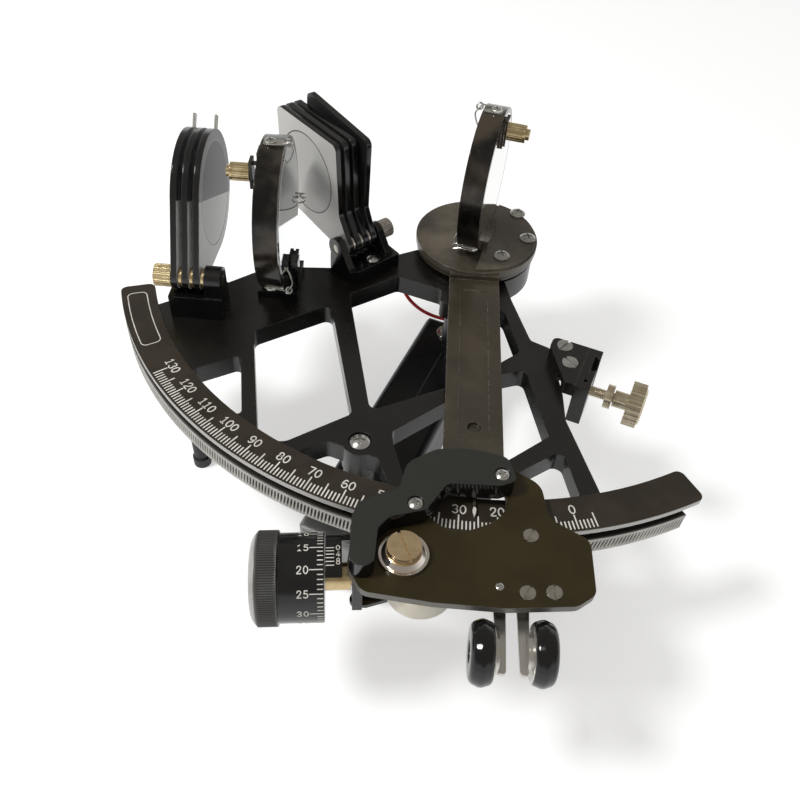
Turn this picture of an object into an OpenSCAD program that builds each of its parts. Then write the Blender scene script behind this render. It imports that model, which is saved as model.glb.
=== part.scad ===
// Sextant: open frame, graduated limb with a rack, index arm with a micrometer drum,
// two round mirrors, seven swinging shades, telescope clamp and a battery handle.
// The table is at z = 0 and +Y points from the limb towards the index arm's pivot.

/* [Stand and origin] */
// Height of the limb's top face above the table
stand_h = 78; // [72:0.5:92]
// Pivot axis, left of the footprint's centre when negative
pivot_x = 2.27; // [-10:0.01:10]
// Pivot axis, from the footprint's centre towards the back
pivot_y = 90.66; // [80:0.01:105]

/* [Limb] */
// Inner radius of the limb plate
limb_in = 152.3; // [148:0.1:154]
// Outer radius of the limb plate
limb_out = 167.3; // [166:0.1:168]
// Thickness of the limb plate
limb_t = 2.2; // [1.8:0.1:2.4]
// Direction of the limb's left end
limb_left = -143; // [-146:0.5:-140]
// Direction of the limb's right end
limb_right = -39.5; // [-41:0.5:-36]
// Depth of the groove between limb plate and rack
groove_h = 4.3; // [3.6:0.1:4.6]
// Radius at the bottom of that groove
groove_r = 164; // [162:0.1:165]
// Height of the rack
rack_h = 8; // [7:0.1:8.4]
// Outer radius of the rack's teeth
rack_out = 167.4; // [167:0.1:168]
// Depth of the rack's teeth
tooth_d = 0.9; // [0.5:0.1:1.2]
// Radial depth of the rack ring
rack_w = 7; // [5:0.1:8]

/* [Frame] */
// Thickness of the frame casting
frame_t = 9; // [8:0.1:10]
// Step down from the limb's top face to the frame's
frame_drop = 0.5; // [0.3:0.1:0.7]
// Radius of the boss around the pivot
boss_r = 28; // [26:0.1:28.5]
// Depth of that boss below the limb's top face
boss_h = 12.5; // [12:0.1:14]
// Radius of the pivot bush
bush_r = 9; // [8:0.1:10]

/* [Feet] */
// Radius of a foot at the frame
foot_r = 4.2; // [3.5:0.1:4.5]
// Radius of a foot at its pad
foot_tip_r = 3.4; // [3:0.1:3.5]
// Height of the pad on a foot
foot_pad_h = 5; // [4:0.1:8]

/* [Handle] */
// Width of the handle
handle_w = 32.5; // [32:0.5:36]
// Length of the handle
handle_l = 143.5; // [142:0.5:146]
// Height of the handle
handle_d = 32.5; // [31:0.5:34]
// Wall of the handle
handle_wall = 2.6; // [2:0.1:3]
// Space between the limb's top face and the handle
handle_gap = 35; // [34:0.5:37]
// Radius of a handle post
post_r = 6.4; // [6:0.1:7]
// Radius of a battery
battery_r = 7.1; // [7:0.05:7.2]
// Length of a battery
battery_l = 50; // [49:0.5:50.5]
// Length of the handle's end piece
end_l = 12; // [10:0.5:14]
// Radius of the lamp button
button_r = 2.8; // [2.5:0.1:3]
// Travel of the lamp button
button_travel = 1.8; // [1:0.1:2]

/* [Index arm] */
// Dial reading that the arm stands at
reading = 26; // [24:1:30]
// Width of the arm
arm_w = 22.8; // [20:0.1:23]
// Thickness of the arm
arm_t = 2.8; // [2.4:0.1:3]
// Clearance between the limb's top face and the arm
arm_lift = 1.2; // [1:0.1:1.4]
// Radius of the mirror's base disc
disc_r = 29.2; // [28.5:0.1:30]
// Thickness of that disc
disc_t = 3; // [2.5:0.1:3.5]
// Thickness of the mirror's flange on that disc
flange_t = 1.5; // [1:0.1:2]
// Thickness of the index plate
plate_t = 3; // [2.5:0.1:3.5]
// Height of the light guide
guide_h = 7.8; // [7:0.1:9]
// Radius of the window in the index plate
window_r = 12.4; // [11:0.1:13]
// Radius of the pivot shaft
shaft_r = 6; // [5.5:0.05:6.5]

/* [Micrometer] */
// Radius of the drum's graduated barrel
drum_r = 15.5; // [15:0.1:16]
// Length of that barrel
drum_l = 15.5; // [14:0.1:17]
// Radius of the drum's knurled rim
knurl_r = 16.5; // [16:0.1:17]
// Length of that rim
knurl_l = 7.6; // [7:0.1:9]
// Depth of the worm's thread
thread_d = 0.9; // [0.7:0.1:1.1]
// Outer radius of the worm
worm_r = 8.2; // [7.5:0.1:8.2]
// Length of the worm
worm_l = 10.2; // [8:0.1:11]
// Lean of the worm's axis away from the limb
worm_lean = 7; // [6:0.1:8]
// Radius of the worm shaft
worm_shaft_r = 3.2; // [3:0.05:3.5]

/* [Mirrors] */
// Outer radius of a mirror's rim
rim_r = 31.8; // [31:0.1:32.5]
// Depth of a mirror's rim
rim_t = 9.8; // [9:0.1:10.2]
// Radius of a mirror
mirror_r = 28.5; // [28:0.1:29]
// Thickness of a mirror
mirror_t = 3; // [2.5:0.1:4]
// Direction of the index mirror's face at rest
index_turn = 97; // [95:0.5:99]
// Direction of the horizon mirror's face
horizon_turn = 110.5; // [108:0.5:114]
// Length of a knurled adjusting screw's grip
adjuster_l = 9.6; // [8:0.1:10]
// Radius of that grip
adjuster_r = 3.8; // [3.5:0.1:4.2]

/* [Shades] */
// Thickness of a shade leaf
leaf_t = 2.6; // [2.2:0.1:2.8]
// Spacing of the horizon shades along their pin
horizon_pitch = 4.7; // [4.6:0.1:5]
// Radius of a horizon shade's head
head_r = 27; // [26:0.1:28]
// Radius of a horizon shade's glass
head_glass_r = 22; // [20:0.1:22.5]
// Spacing of the index shades along their pin
index_pitch = 4.4; // [4.2:0.1:4.6]
// Side of an index shade's plate
leaf_side = 45; // [42:0.5:46]
// Radius of an index shade's glass
leaf_glass_r = 18.5; // [17:0.1:19]
// Thickness of a shade's glass
glass_t = 1.6; // [1:0.1:1.8]
// Radius of a shade pin
pin_r = 2; // [1.8:0.05:2.2]
// Radius of a leaf's eye
eye_r = 5; // [4.6:0.1:5.2]

/* [Telescope clamp] */
// Length of the clamp block along the frame's side
clamp_l = 25; // [24:0.1:26]
// Thickness of the clamp block's plate
clamp_t = 6.5; // [6:0.1:7]
// Height of the rail that the telescope's foot slides on
rail_h = 20.5; // [19:0.1:22]
// Thickness of the rail
rail_t = 6; // [5:0.1:6.5]
// Radius of the clamp screw's thread
clamp_thread_r = 2; // [1.9:0.05:2.2]
// Radius of the clamp screw's head
clamp_head_r = 9.2; // [8.5:0.1:9.5]

/* [Fits] */
// Radial running clearance of shafts and pins
run = 0.05; // [0.03:0.01:0.09]
// Gap between pieces that move past each other
gap = 0.4; // [0.3:0.05:0.5]

/* [Hidden] */
$fn = 64;

// Levels, measured from the limb's top face
frame_top = -frame_drop;
frame_bot = frame_top - frame_t;
rack_top = -limb_t - groove_h;
rack_bot = rack_top - rack_h;
arm_bot = arm_lift;
arm_top = arm_bot + arm_t;
disc_bot = arm_top;
disc_top = disc_bot + disc_t;
plate_bot = arm_lift;
plate_top = plate_bot + plate_t;
handle_top = -handle_gap;
handle_mid = handle_top - handle_d / 2;
handle_bot = handle_top - handle_d;

// Directions and places
arm_dir = -90 - (reading - 65) / 2;
handle_x = 1.5;
handle_back = -18;
handle_front = handle_back - handle_l;
posts = [[handle_x, -136.2], [6, -36]];
feet_at = [[-89, -121], [87.4, -120.4], [0, 21]];
horizon_pin = [-91.3, -96.7, 17.3];
horizon_pin_dir = 19;
horizon_head = [35, 19.3];
index_pin = [-47.8, -37.7, 12.5];
index_pin_dir = 62;
horizon_mirror_at = [-71.4, -65, 37.4];
index_mirror_z = disc_top + rim_r;
worm_at = [176.8, 0, -11];
carrier_pin = [176, 31];
carrier_pin_r = 2.4;
lever_pins = [[187, 9], [187, 17]];
clamp_face_x = 75.7;
clamp_front_y = -77.3;
clamp_screw_y = -72;
clamp_screw_z = 1.2;
scope_screws_at = [[59.7, -55.6], [64.4, -64.6]];

// Helpers for outlines with rounded corners: each vertex is [x, y, radius]
function unit(v) = v / norm(v);
function polar(r, a) = [r * cos(a), r * sin(a)];
function flat(v) = [v[0], v[1]];
function corner(a, b, c, r, n) =
  let (
    u = unit(a - b),
    v = unit(c - b),
    half = acos(max(-1, min(1, u * v))) / 2,
    t = min(r / tan(half), 0.45 * min(norm(a - b), norm(c - b))),
    q = t * tan(half),
    o = b + unit(u + v) * (q / sin(half)),
    p0 = b + u * t - o,
    p1 = b + v * t - o,
    a0 = atan2(p0[1], p0[0]),
    a1 = atan2(p1[1], p1[0]),
    d = (a1 - a0 + 540) % 360 - 180
  )
  [for (k = [0:n]) o + q * [cos(a0 + d * k / n), sin(a0 + d * k / n)]];
function rounded(v, n = 6) =
  [for (i = [0:len(v) - 1])
    let (
      a = flat(v[(i - 1 + len(v)) % len(v)]),
      b = flat(v[i]),
      c = flat(v[(i + 1) % len(v)])
    )
    each (v[i][2] > 0 ? corner(a, b, c, v[i][2], n) : [b])];
function arc(r, a0, a1, n) = [for (k = [0:n]) polar(r, a0 + (a1 - a0) * k / n)];

module at_pivot() {
  translate([pivot_x, pivot_y, stand_h]) children();
}

module on_arm() {
  at_pivot() rotate([0, 0, arm_dir]) children();
}

// Slab of an outline between two levels
module slab(points, low, high) {
  translate([0, 0, low]) linear_extrude(height = high - low) polygon(points);
}

module disc(r, low, high) {
  translate([0, 0, low]) cylinder(r = r, h = high - low);
}

// Ring between two radii and two levels, cut to a wedge of directions
module ring_part(r0, r1, low, high, a0, a1) {
  intersection() {
    difference() {
      translate([0, 0, low]) cylinder(r = r1, h = high - low, $fn = 360);
      translate([0, 0, low - 1]) cylinder(r = r0, h = high - low + 2, $fn = 360);
    }
    slab(concat([[0, 0]], arc(r1 * 1.3, a0, a1, 6)), low - 2, high + 2);
  }
}

// Screw with a domed head, its head's underside at the origin and its shank down
module cross_screw(r, head_r, head_h, l) {
  difference() {
    union() {
      translate([0, 0, -l]) cylinder(r = r, h = l + 0.1);
      intersection() {
        cylinder(r = head_r, h = head_h);
        translate([0, 0, head_h - head_r * 1.5]) sphere(r = head_r * 1.5);
      }
    }
    for (a = [0, 90]) rotate([0, 0, a + 20])
      translate([-head_r * 0.55, -head_r * 0.11, head_h * 0.45])
        cube([head_r * 1.1, head_r * 0.22, head_h]);
  }
}

module slot_screw(r, head_r, head_h, l) {
  difference() {
    union() {
      translate([0, 0, -l]) cylinder(r = r, h = l + 0.1);
      cylinder(r = head_r, h = head_h);
    }
    translate([-head_r - 1, -head_r * 0.14, head_h * 0.5])
      cube([head_r * 2 + 2, head_r * 0.28, head_h]);
  }
}

// Frame and limb
frame_outline = concat(
  [[-95, -79.5, 3], [-86, -64.5, 3], [-67, -50.5, 3], [-51, -43, 3], [-31.5, -21.5, 3], [-18, -6, 0],
   [0, 10, 0], [20, -16, 0], [28.5, -29.8, 3], [44.4, -52, 3], [53.5, -53, 2], [66, -77.5, 4],
   [71, -91, 4], [93, -121.5, 0]],
  [for (p = arc(limb_in + 0.6, -54, -137.5, 30)) [p[0], p[1], 0]]
);
// Point of an opening's outline just inside the limb's inner edge
function rim(a, r = 0) = concat(polar(limb_in + 0.3, a), [r]);
opening_1 = [[-63.6, -114.7, 2.5], rim(-120.5, 2), rim(-118), rim(-114.5), rim(-111), rim(-107.1, 2)];
opening_2 = [[-66.3, -99.6, 3.5], rim(-103.9, 3.5), rim(-99.6, 6), [-7.3, -124.8, 3], [-44, -69.2, 3]];
opening_3 = [[-40, -58.6, 3], [-1.6, -120.2, 3], [20.2, -96.3, 3], [36.7, -71.4, 3], [42.4, -61, 3],
  [27, -37.3, 5], [12, -45, 3], [-1, -45, 2.5], [-3, -37, 2], [-25.1, -37.2, 3]];
opening_4 = [[-9.5, -141.5, 3], rim(-96.9, 1.5), rim(-94), rim(-90), rim(-86), rim(-82.4, 1.5),
  [11.4, -141, 3]];
opening_5 = [[10.6, -126.5, 3], [14, -132.5, 6], rim(-79.7, 2), rim(-78), rim(-76), rim(-74.5, 2),
  [67.4, -102.2, 2], [47.6, -70.4, 3], [39.6, -77.4, 3], [23.2, -104, 6]];
opening_6 = [[72.2, -109.3, 3], rim(-71.7, 2), rim(-67), rim(-62), rim(-58), rim(-55.6, 2), [76, -109.5, 3]];

module frame_casting() {
  color("#1b1a19") at_pivot() difference() {
    union() {
      difference() {
        slab(rounded(frame_outline), frame_bot, frame_top);
        for (o = [opening_1, opening_2, opening_3, opening_4, opening_5, opening_6])
          slab(rounded(o), frame_bot - 1, frame_top + 1);
      }
      disc(boss_r, -boss_h, frame_top);
      ring_part(limb_in, rack_out - rack_w, frame_bot, -limb_t, limb_left + 2, limb_right - 2);
      ring_part(rack_out - rack_w - 4, rack_out - rack_w, rack_bot, -limb_t, limb_left + 2, limb_right - 2);
      ring_part(limb_in, groove_r, rack_top, -limb_t, limb_left + 2, limb_right - 2);
      translate([posts[0][0], posts[0][1], 0]) disc(post_r + 0.6, frame_bot - 4, frame_top);
    }
    disc(bush_r, -boss_h - 1, 1);
    ring_part(limb_in, limb_out, -limb_t, 1, limb_left - 2, limb_right + 2);
    for (p = posts) translate([p[0], p[1], 0]) {
      disc(2.1, frame_bot - 8, 1);
      disc(4.6, frame_top - 1.4, 1);
    }
    for (p = feet_at) translate([p[0], p[1], 0]) disc(2, -boss_h - 1, frame_bot + 6);
    for (p = scope_screws_at) translate([p[0], p[1], 0]) disc(1.5, frame_bot - 1, 1);
    translate([wire_start[0], wire_start[1], 0]) disc(wire_r + 0.1, frame_bot - 1, frame_bot + 3);
    translate(flat(index_pin)) rotate([0, 0, index_pin_dir])
      translate([5, -8, 0]) disc(1.6, frame_bot - 1, 1);
  }
}

limb_corner = 3;
limb_end = limb_corner / limb_in * 180 / PI;
module limb_arc() {
  color("#2a2826") at_pivot() union() {
    ring_part(limb_in, limb_out, -limb_t, 0, limb_left + limb_end, limb_right - limb_end);
    for (a = [limb_left + limb_end, limb_right - limb_end]) hull()
      for (r = [limb_in + limb_corner, limb_out - limb_corner])
        translate(polar(r, a)) disc(limb_corner, -limb_t, 0);
  }
}

rack_left = limb_left + 2.5;
rack_right = limb_right - 2.5;
rack_n = floor((rack_right - rack_left) * 2);
rack_points = concat(
  [for (i = [0:rack_n]) each [
    polar(rack_out, rack_left + i / 2),
    polar(rack_out - tooth_d, rack_left + i / 2 + 0.25)
  ]],
  [[0, 0]]
);
module limb_rack() {
  color("#8d867a") at_pivot() difference() {
    slab(rack_points, rack_bot, rack_top);
    translate([0, 0, rack_bot - 1]) cylinder(r = rack_out - rack_w, h = rack_h + 2, $fn = 360);
  }
}

module pivot_bush() {
  color("#b08d4f") at_pivot() difference() {
    union() {
      disc(bush_r, -boss_h, arm_bot - gap);
      disc(bush_r + 3, -boss_h - 1.5, -boss_h);
    }
    disc(shaft_r + run, -boss_h - 3, 2);
  }
}

module feet() {
  color("#151515") at_pivot() for (p = feet_at) {
    top = p == feet_at[2] ? -boss_h : frame_bot;
    translate([p[0], p[1], 0]) union() {
      translate([0, 0, -stand_h + foot_pad_h])
        cylinder(r1 = foot_tip_r, r2 = foot_r, h = top + stand_h - foot_pad_h);
      disc(foot_tip_r + 0.8, -stand_h, -stand_h + foot_pad_h);
      disc(1.9, top - 0.1, top + 5.5);
    }
  }
}

// Handle: two shells and an end piece on two posts, with the battery pack inside
module side_slab(points, x0, x1) {
  translate([x0, 0, 0]) rotate([90, 0, 90]) linear_extrude(height = x1 - x0) polygon(points);
}

battery_z = handle_mid;
button_at = [-1.5, -27.5];
seam_y = handle_front + end_l;
handle_screws_at = [for (y = [handle_back - 9, (handle_back + seam_y) / 2, seam_y + 8.5]) [y, handle_bot + 6.5]];

// Rounded block, smaller all round by w
module handle_block(w) {
  x0 = handle_x - handle_w / 2 + w;
  x1 = handle_x + handle_w / 2 - w;
  intersection() {
    side_slab(rounded([
      [handle_back - w, handle_top - w, 3], [handle_back - w, handle_bot + w, 11],
      [handle_front + w, handle_bot + w, 9], [handle_front + w, handle_top - w, 3]
    ]), x0, x1);
    slab(rounded([
      [x0, handle_back - w, 5], [x1, handle_back - w, 5], [x1, handle_front + w, 5], [x0, handle_front + w, 5]
    ]), handle_bot + w, handle_top - w);
    translate([0, handle_back - w, 0]) rotate([90, 0, 0])
      linear_extrude(height = handle_l - 2 * w) polygon(rounded([
        [x0, handle_top - w, 3], [x1, handle_top - w, 3], [x1, handle_bot + w, 8], [x0, handle_bot + w, 8]
      ]));
  }
}

module handle_half(side) {
  x0 = side < 0 ? handle_x - 40 : handle_x;
  difference() {
    intersection() {
      handle_block(0);
      translate([x0, seam_y, handle_bot - 1]) cube([40, handle_l, handle_d + 2]);
    }
    handle_block(handle_wall);
    for (p = posts) translate([p[0], p[1], 0]) {
      disc(2.1, handle_top - 8, handle_top + 1);
      disc(post_r - 1, handle_top - 1, handle_top + 1);
    }
    translate([button_at[0], button_at[1], 0]) disc(button_r + 1.2, handle_top - 6, handle_top + 1);
    translate([wire_end[0], wire_end[1], 0]) disc(wire_r + 0.1, handle_top - 6, handle_top + 1);
    for (q = handle_screws_at)
      translate([handle_x - 30, q[0], q[1]]) rotate([0, 90, 0]) cylinder(r = 1.5, h = 60);
  }
}

module handle_left() {
  color("#17171a") at_pivot() handle_half(-1);
}

module handle_right() {
  color("#17171a") at_pivot() handle_half(1);
}

module handle_end() {
  color("#8e8e8c") at_pivot() difference() {
    intersection() {
      handle_block(0);
      translate([handle_x - 40, handle_front - 1, handle_bot - 1]) cube([80, end_l + 1, handle_d + 2]);
    }
    handle_block(handle_wall);
    for (p = posts) translate([p[0], p[1], 0]) disc(post_r + 0.3, handle_top - 8, handle_top + 1);
  }
}

module handle_posts() {
  color("#3a3a3c") at_pivot() difference() {
    union() {
      translate([posts[0][0], posts[0][1], 0]) disc(post_r, handle_top - 1, frame_bot - 4);
      translate([posts[1][0], posts[1][1], 0]) disc(post_r, handle_top - 1, frame_bot);
      for (p = posts) translate([p[0], p[1], 0]) disc(post_r - 1.05, handle_top - 1, handle_top);
    }
    for (p = posts) translate([p[0], p[1], 0]) disc(2.05, handle_top - 3, frame_bot + 3);
    for (p = posts) translate([p[0], p[1], 0]) difference() {
      disc(post_r + 1, handle_top - 2, handle_top);
      disc(post_r - 1.05, handle_top - 3, handle_top + 1);
    }
  }
}

module frame_screws() {
  color("#c9c7c2") at_pivot() {
    for (p = posts) translate([p[0], p[1], frame_top - 1.4]) cross_screw(2, 4, 2.6, frame_t + 6);
    translate([index_pin[0], index_pin[1], 0]) rotate([0, 0, index_pin_dir])
      translate([5, -8, index_base_top - 1.2]) cross_screw(1.5, 3, 1.8, index_base_top + 4);
    for (q = handle_screws_at)
      translate([handle_x + handle_w / 2, q[0], q[1]]) rotate([0, 90, 0])
        cross_screw(1.45, 2.8, 1.2, handle_w - handle_wall);
  }
}

module switch_bezel() {
  color("#d8d8d8") at_pivot() translate([button_at[0], button_at[1], 0]) difference() {
    union() {
      disc(button_r + 1.15, handle_top - 5, handle_top);
      disc(button_r + 1.8, handle_top, handle_top + 1.2);
    }
    disc(button_r + run, handle_top - 6, handle_top + 2);
  }
}

module lamp_button() {
  color("#e2e2e0") at_pivot() translate([button_at[0], button_at[1], 0]) union() {
    disc(button_r, handle_top - 4, handle_top + 1.2 + button_travel + 0.4);
    disc(button_r - 1, handle_top - 5.5 - button_travel, handle_top - 3.9);
  }
}

// Two cells in line and a contact sleeve behind them
module battery_pack() {
  front = handle_front + handle_wall;
  back = handle_back - handle_wall;
  length = 2 * battery_l + 0.6;
  color("#5d7a8c") at_pivot() translate([handle_x, 0, battery_z]) {
    for (k = [0, 1]) translate([0, front + k * (battery_l + 0.6), 0]) rotate([-90, 0, 0]) union() {
      cylinder(r = battery_r, h = battery_l - 1.2);
      cylinder(r = 2.7, h = battery_l + (k == 0 ? 0.6 : 0));
    }
    translate([0, front + length, 0]) rotate([-90, 0, 0]) difference() {
      cylinder(r = 5, h = back - front - length);
      translate([0, 0, 1]) cylinder(r = 3.6, h = handle_l);
    }
  }
}

// Red wire from the frame to the handle
wire_r = 0.85;
wire_points = [
  [-26, -28.2, -9.5], [-25.6, -28.9, -11.5], [-23.8, -30.2, -14.5], [-20.2, -30.6, -18.4],
  [-15.4, -29.2, -23], [-10, -26.2, -27.2], [-4, -22.4, -30.6], [1.5, -20.8, -32.2],
  [4.6, -21.6, -33.4], [5, -22.5, -35]
];
wire_start = [-26, -28.2];
wire_end = [5, -22.5];
function bezier(p, i, t) =
  let (
    a = p[max(i - 1, 0)],
    b = p[i],
    c = p[i + 1],
    d = p[min(i + 2, len(p) - 1)]
  )
  0.5 * ((2 * b) + (c - a) * t + (2 * a - 5 * b + 4 * c - d) * t * t + (3 * b - a - 3 * c + d) * t * t * t);
function path(p, n) = concat(
  [for (i = [0:len(p) - 2]) for (k = [0:n - 1]) bezier(p, i, k / n)],
  [p[len(p) - 1]]
);
module tube(p, r, sides) {
  n = len(p);
  tangents = [for (i = [0:n - 1])
    i == 0 || i == n - 1 ? [0, 0, -1] : unit(p[i + 1] - p[i - 1])];
  rings = [for (i = [0:n - 1])
    let (
      t = tangents[i],
      u = unit(cross(t, [0, 1, 0.001])),
      v = cross(t, u)
    )
    for (k = [0:sides - 1]) p[i] + r * (u * cos(360 * k / sides) + v * sin(360 * k / sides))];
  walls = [for (i = [0:n - 2]) for (k = [0:sides - 1])
    let (
      a = i * sides + k,
      b = i * sides + (k + 1) % sides
    )
    each [[a, b, b + sides], [a, b + sides, a + sides]]];
  caps = [
    [for (k = [0:sides - 1]) sides - 1 - k],
    [for (k = [0:sides - 1]) (n - 1) * sides + k]
  ];
  polyhedron(points = rings, faces = concat(walls, caps));
}
module wire() {
  color("#c8202a") at_pivot() tube(path(wire_points, 2), wire_r, 8);
}

// Telescope clamp
module telescope_base() {
  color("#202123") at_pivot() difference() {
    slab(rounded([
      [54, clamp_front_y + clamp_l, 2.5], [clamp_face_x - rail_t, clamp_front_y + clamp_l, 0],
      [clamp_face_x - rail_t, clamp_front_y + 0.5, 0], [65.4, clamp_front_y + 0.5, 1], [54, -58.5, 3]
    ]), frame_top, frame_top + clamp_t);
    for (p = scope_screws_at) translate([p[0], p[1], 0]) {
      disc(1.6, frame_top - 1, frame_top + clamp_t + 1);
      disc(3.7, frame_top + clamp_t - 1.6, frame_top + clamp_t + 1);
    }
    translate([60, clamp_screw_y, clamp_screw_z]) rotate([0, 90, 0])
      cylinder(r = clamp_thread_r + 0.4, h = 20);
  }
}

module telescope_rail() {
  top = frame_top + clamp_t;
  mid = clamp_front_y + clamp_l * 0.64;
  color("#202123") at_pivot() difference() {
    translate([clamp_face_x - rail_t, clamp_front_y, top - rail_h]) cube([rail_t, clamp_l, rail_h]);
    translate([0, mid, top - rail_h - 1]) linear_extrude(height = rail_h + 2) polygon([
      [clamp_face_x + 1, -3.4], [clamp_face_x, -3.4], [clamp_face_x - 2.6, -5.2],
      [clamp_face_x - 2.6, 5.2], [clamp_face_x, 3.4], [clamp_face_x + 1, 3.4]
    ]);
    translate([60, clamp_screw_y, clamp_screw_z]) rotate([0, 90, 0])
      cylinder(r = clamp_thread_r + run, h = 20);
    translate([73.1, clamp_screw_y - 0.5, 0]) disc(1, top - 1.5, top + 1);
  }
}

module telescope_screws() {
  color("#d2cfc8") at_pivot() for (p = scope_screws_at)
    translate([p[0], p[1], frame_top + clamp_t - 1.6]) rotate([0, 0, p == scope_screws_at[0] ? 70 : -35])
      slot_screw(1.5, 3.4, 1.7, clamp_t + 3);
}

module clamp_collar() {
  color("#c9b58a") at_pivot() translate([clamp_face_x + 6.6, clamp_screw_y, clamp_screw_z]) rotate([0, 90, 0])
    difference() {
      cylinder(r = 5, h = 3);
      translate([0, 0, -1]) cylinder(r = clamp_thread_r + run, h = 6);
    }
}

module clamp_screw() {
  color("#c9b58a") at_pivot() translate([clamp_face_x, clamp_screw_y, clamp_screw_z]) rotate([0, 90, 0]) {
    difference() {
      union() {
        translate([0, 0, -5.4]) cylinder(r = clamp_thread_r, h = 16);
        translate([0, 0, 9.6 + gap]) cylinder(r = 3.5, h = 7);
        translate([0, 0, 15.8]) cylinder(r = clamp_head_r, h = 5.6);
        translate([0, 0, 21.3]) cylinder(r1 = clamp_head_r - 1, r2 = clamp_head_r - 2, h = 0.9);
      }
      for (k = [0:35]) rotate([0, 0, k * 10])
        translate([clamp_head_r + 0.35, 0, 15]) cylinder(r = 0.7, h = 8, $fn = 12);
    }
  }
}

// Shades swing about a pin: local X along the pin, Y level, Z up
module at_horizon_pin() {
  at_pivot() translate(horizon_pin) rotate([0, 0, horizon_pin_dir]) children();
}
module at_index_pin() {
  at_pivot() translate(index_pin) rotate([0, 0, index_pin_dir]) children();
}

// Cylinder along local X
module bar(r, x0, x1) {
  translate([x0, 0, 0]) rotate([0, 90, 0]) cylinder(r = r, h = x1 - x0);
}

horizon_base_top = 11;
ear_x = 1.9;
ear_w = 7;
function horizon_x(i) = -leaf_t / 2 - (3 - i) * horizon_pitch;
module horizon_shade_bracket() {
  low = frame_top - horizon_pin[2];
  high = horizon_base_top - horizon_pin[2];
  color("#1a1a1c") at_horizon_pin() difference() {
    union() {
      translate([-14, -6.3, low]) cube([14 + ear_x + ear_w, 13, high - low]);
      translate([ear_x, -5.6, high - 1]) cube([ear_w, 11.2, 1 - high]);
      bar(5.6, ear_x, ear_x + ear_w);
    }
    bar(pin_r + run, ear_x - 1, ear_x + ear_w + 1);
  }
}

module horizon_shade_pin() {
  color("#c4a45c") at_horizon_pin() {
    difference() {
      union() {
        bar(pin_r, horizon_x(1) - leaf_t / 2 - 2, ear_x + ear_w);
        bar(4.8, horizon_x(1) - leaf_t / 2 - gap - 7.4, horizon_x(1) - leaf_t / 2 - gap);
      }
      for (k = [0:23]) rotate([k * 15, 0, 0])
        translate([-24, 5.1, 0]) rotate([0, 90, 0]) cylinder(r = 0.6, h = 30, $fn = 12);
    }
    for (i = [1:3]) difference() {
      bar(eye_r - 0.6, horizon_x(i) + leaf_t / 2 + 0.35, horizon_x(i) - leaf_t / 2 + horizon_pitch - 0.35);
      bar(pin_r + run, horizon_x(i) - 5, horizon_x(i) + 8);
    }
  }
}

// Teardrop leaf about the pin, with a round glass in its head
module horizon_leaf() {
  d = norm(horizon_head);
  tilt = atan2(horizon_head[1], horizon_head[0]);
  side = asin((head_r - eye_r) / d);
  rotate([tilt, 0, 0]) difference() {
    union() {
      bar(eye_r, -leaf_t / 2, leaf_t / 2);
      translate([0, d, 0]) bar(head_r, -leaf_t / 2, leaf_t / 2);
      side_slab([
        eye_r * [-sin(side), cos(side)], [0, 0], eye_r * [-sin(side), -cos(side)],
        [d, 0] + head_r * [-sin(side), -cos(side)], [d, 0], [d, 0] + head_r * [-sin(side), cos(side)]
      ], -leaf_t / 2, leaf_t / 2);
    }
    bar(pin_r + run, -leaf_t, leaf_t);
    translate([0, d, 0]) bar(head_glass_r - 1, -leaf_t, leaf_t);
    translate([0, d, 0]) bar(head_glass_r, leaf_t / 2 - glass_t, leaf_t);
  }
}
module horizon_tab(a) {
  d = norm(horizon_head);
  tilt = atan2(horizon_head[1], horizon_head[0]);
  rotate([tilt, 0, 0]) translate([0, d, 0]) rotate([a, 0, 0])
    translate([0, head_r - 1, 0]) rotate([-90, 0, 0]) cylinder(r = 0.65, h = 7, $fn = 16);
}
module horizon_shade(i) {
  color("#161618") at_horizon_pin() translate([horizon_x(i), 0, 0]) union() {
    horizon_leaf();
    if (i != 2) for (s = [-3.2, 3.2]) horizon_tab(22 + s / 2);
  }
}
module horizon_glass(i) {
  d = norm(horizon_head);
  tilt = atan2(horizon_head[1], horizon_head[0]);
  color("#55575c") at_horizon_pin() translate([horizon_x(i), 0, 0]) rotate([tilt, 0, 0])
    translate([0, d, 0]) bar(head_glass_r - 0.02, leaf_t / 2 - glass_t, leaf_t / 2);
}
module horizon_shade_1() { horizon_shade(1); }
module horizon_shade_2() { horizon_shade(2); }
module horizon_shade_3() { horizon_shade(3); }
module horizon_glass_1() { horizon_glass(1); }
module horizon_glass_2() { horizon_glass(2); }
module horizon_glass_3() { horizon_glass(3); }

index_base_top = 5.6;
function index_x(i) = -4.8 + (i - 1) * index_pitch;
index_ear_x = index_x(4) + leaf_t / 2 + 1.2;
index_block_front = -12.6;
index_block_right = 17.4;
module index_shade_bracket() {
  low = frame_top - index_pin[2];
  high = index_base_top - index_pin[2];
  left = index_x(1) - leaf_t / 2 - 1.2;
  color("#1a1a1c") at_index_pin() difference() {
    union() {
      slab(rounded([
        [left - 3.2, 4, 0], [left - 3.2, index_block_front + 2, 1], [left + 1, index_block_front, 1],
        [index_block_right, index_block_front, 0.5], [index_block_right, -4, 1], [index_ear_x + 3.2, 4, 0]
      ]), low, high);
      for (x = [left - 3.2, index_ear_x]) {
        side_slab([
          [index_block_front + 2.2, high - 0.5], [index_block_front + 2.2, high + 1.2], [-3.4, 3.7],
          [0, 4.9], [3.4, 3.7], [4, high - 0.5]
        ], x, x + 3.2);
        bar(5, x, x + 3.2);
      }
    }
    bar(pin_r + run, left - 5, index_ear_x + 5);
    translate([5, -8, 0]) {
      disc(1.6, low - 1, high + 1);
      disc(3.4, high - 1.2, high + 1);
    }
  }
}
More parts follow.
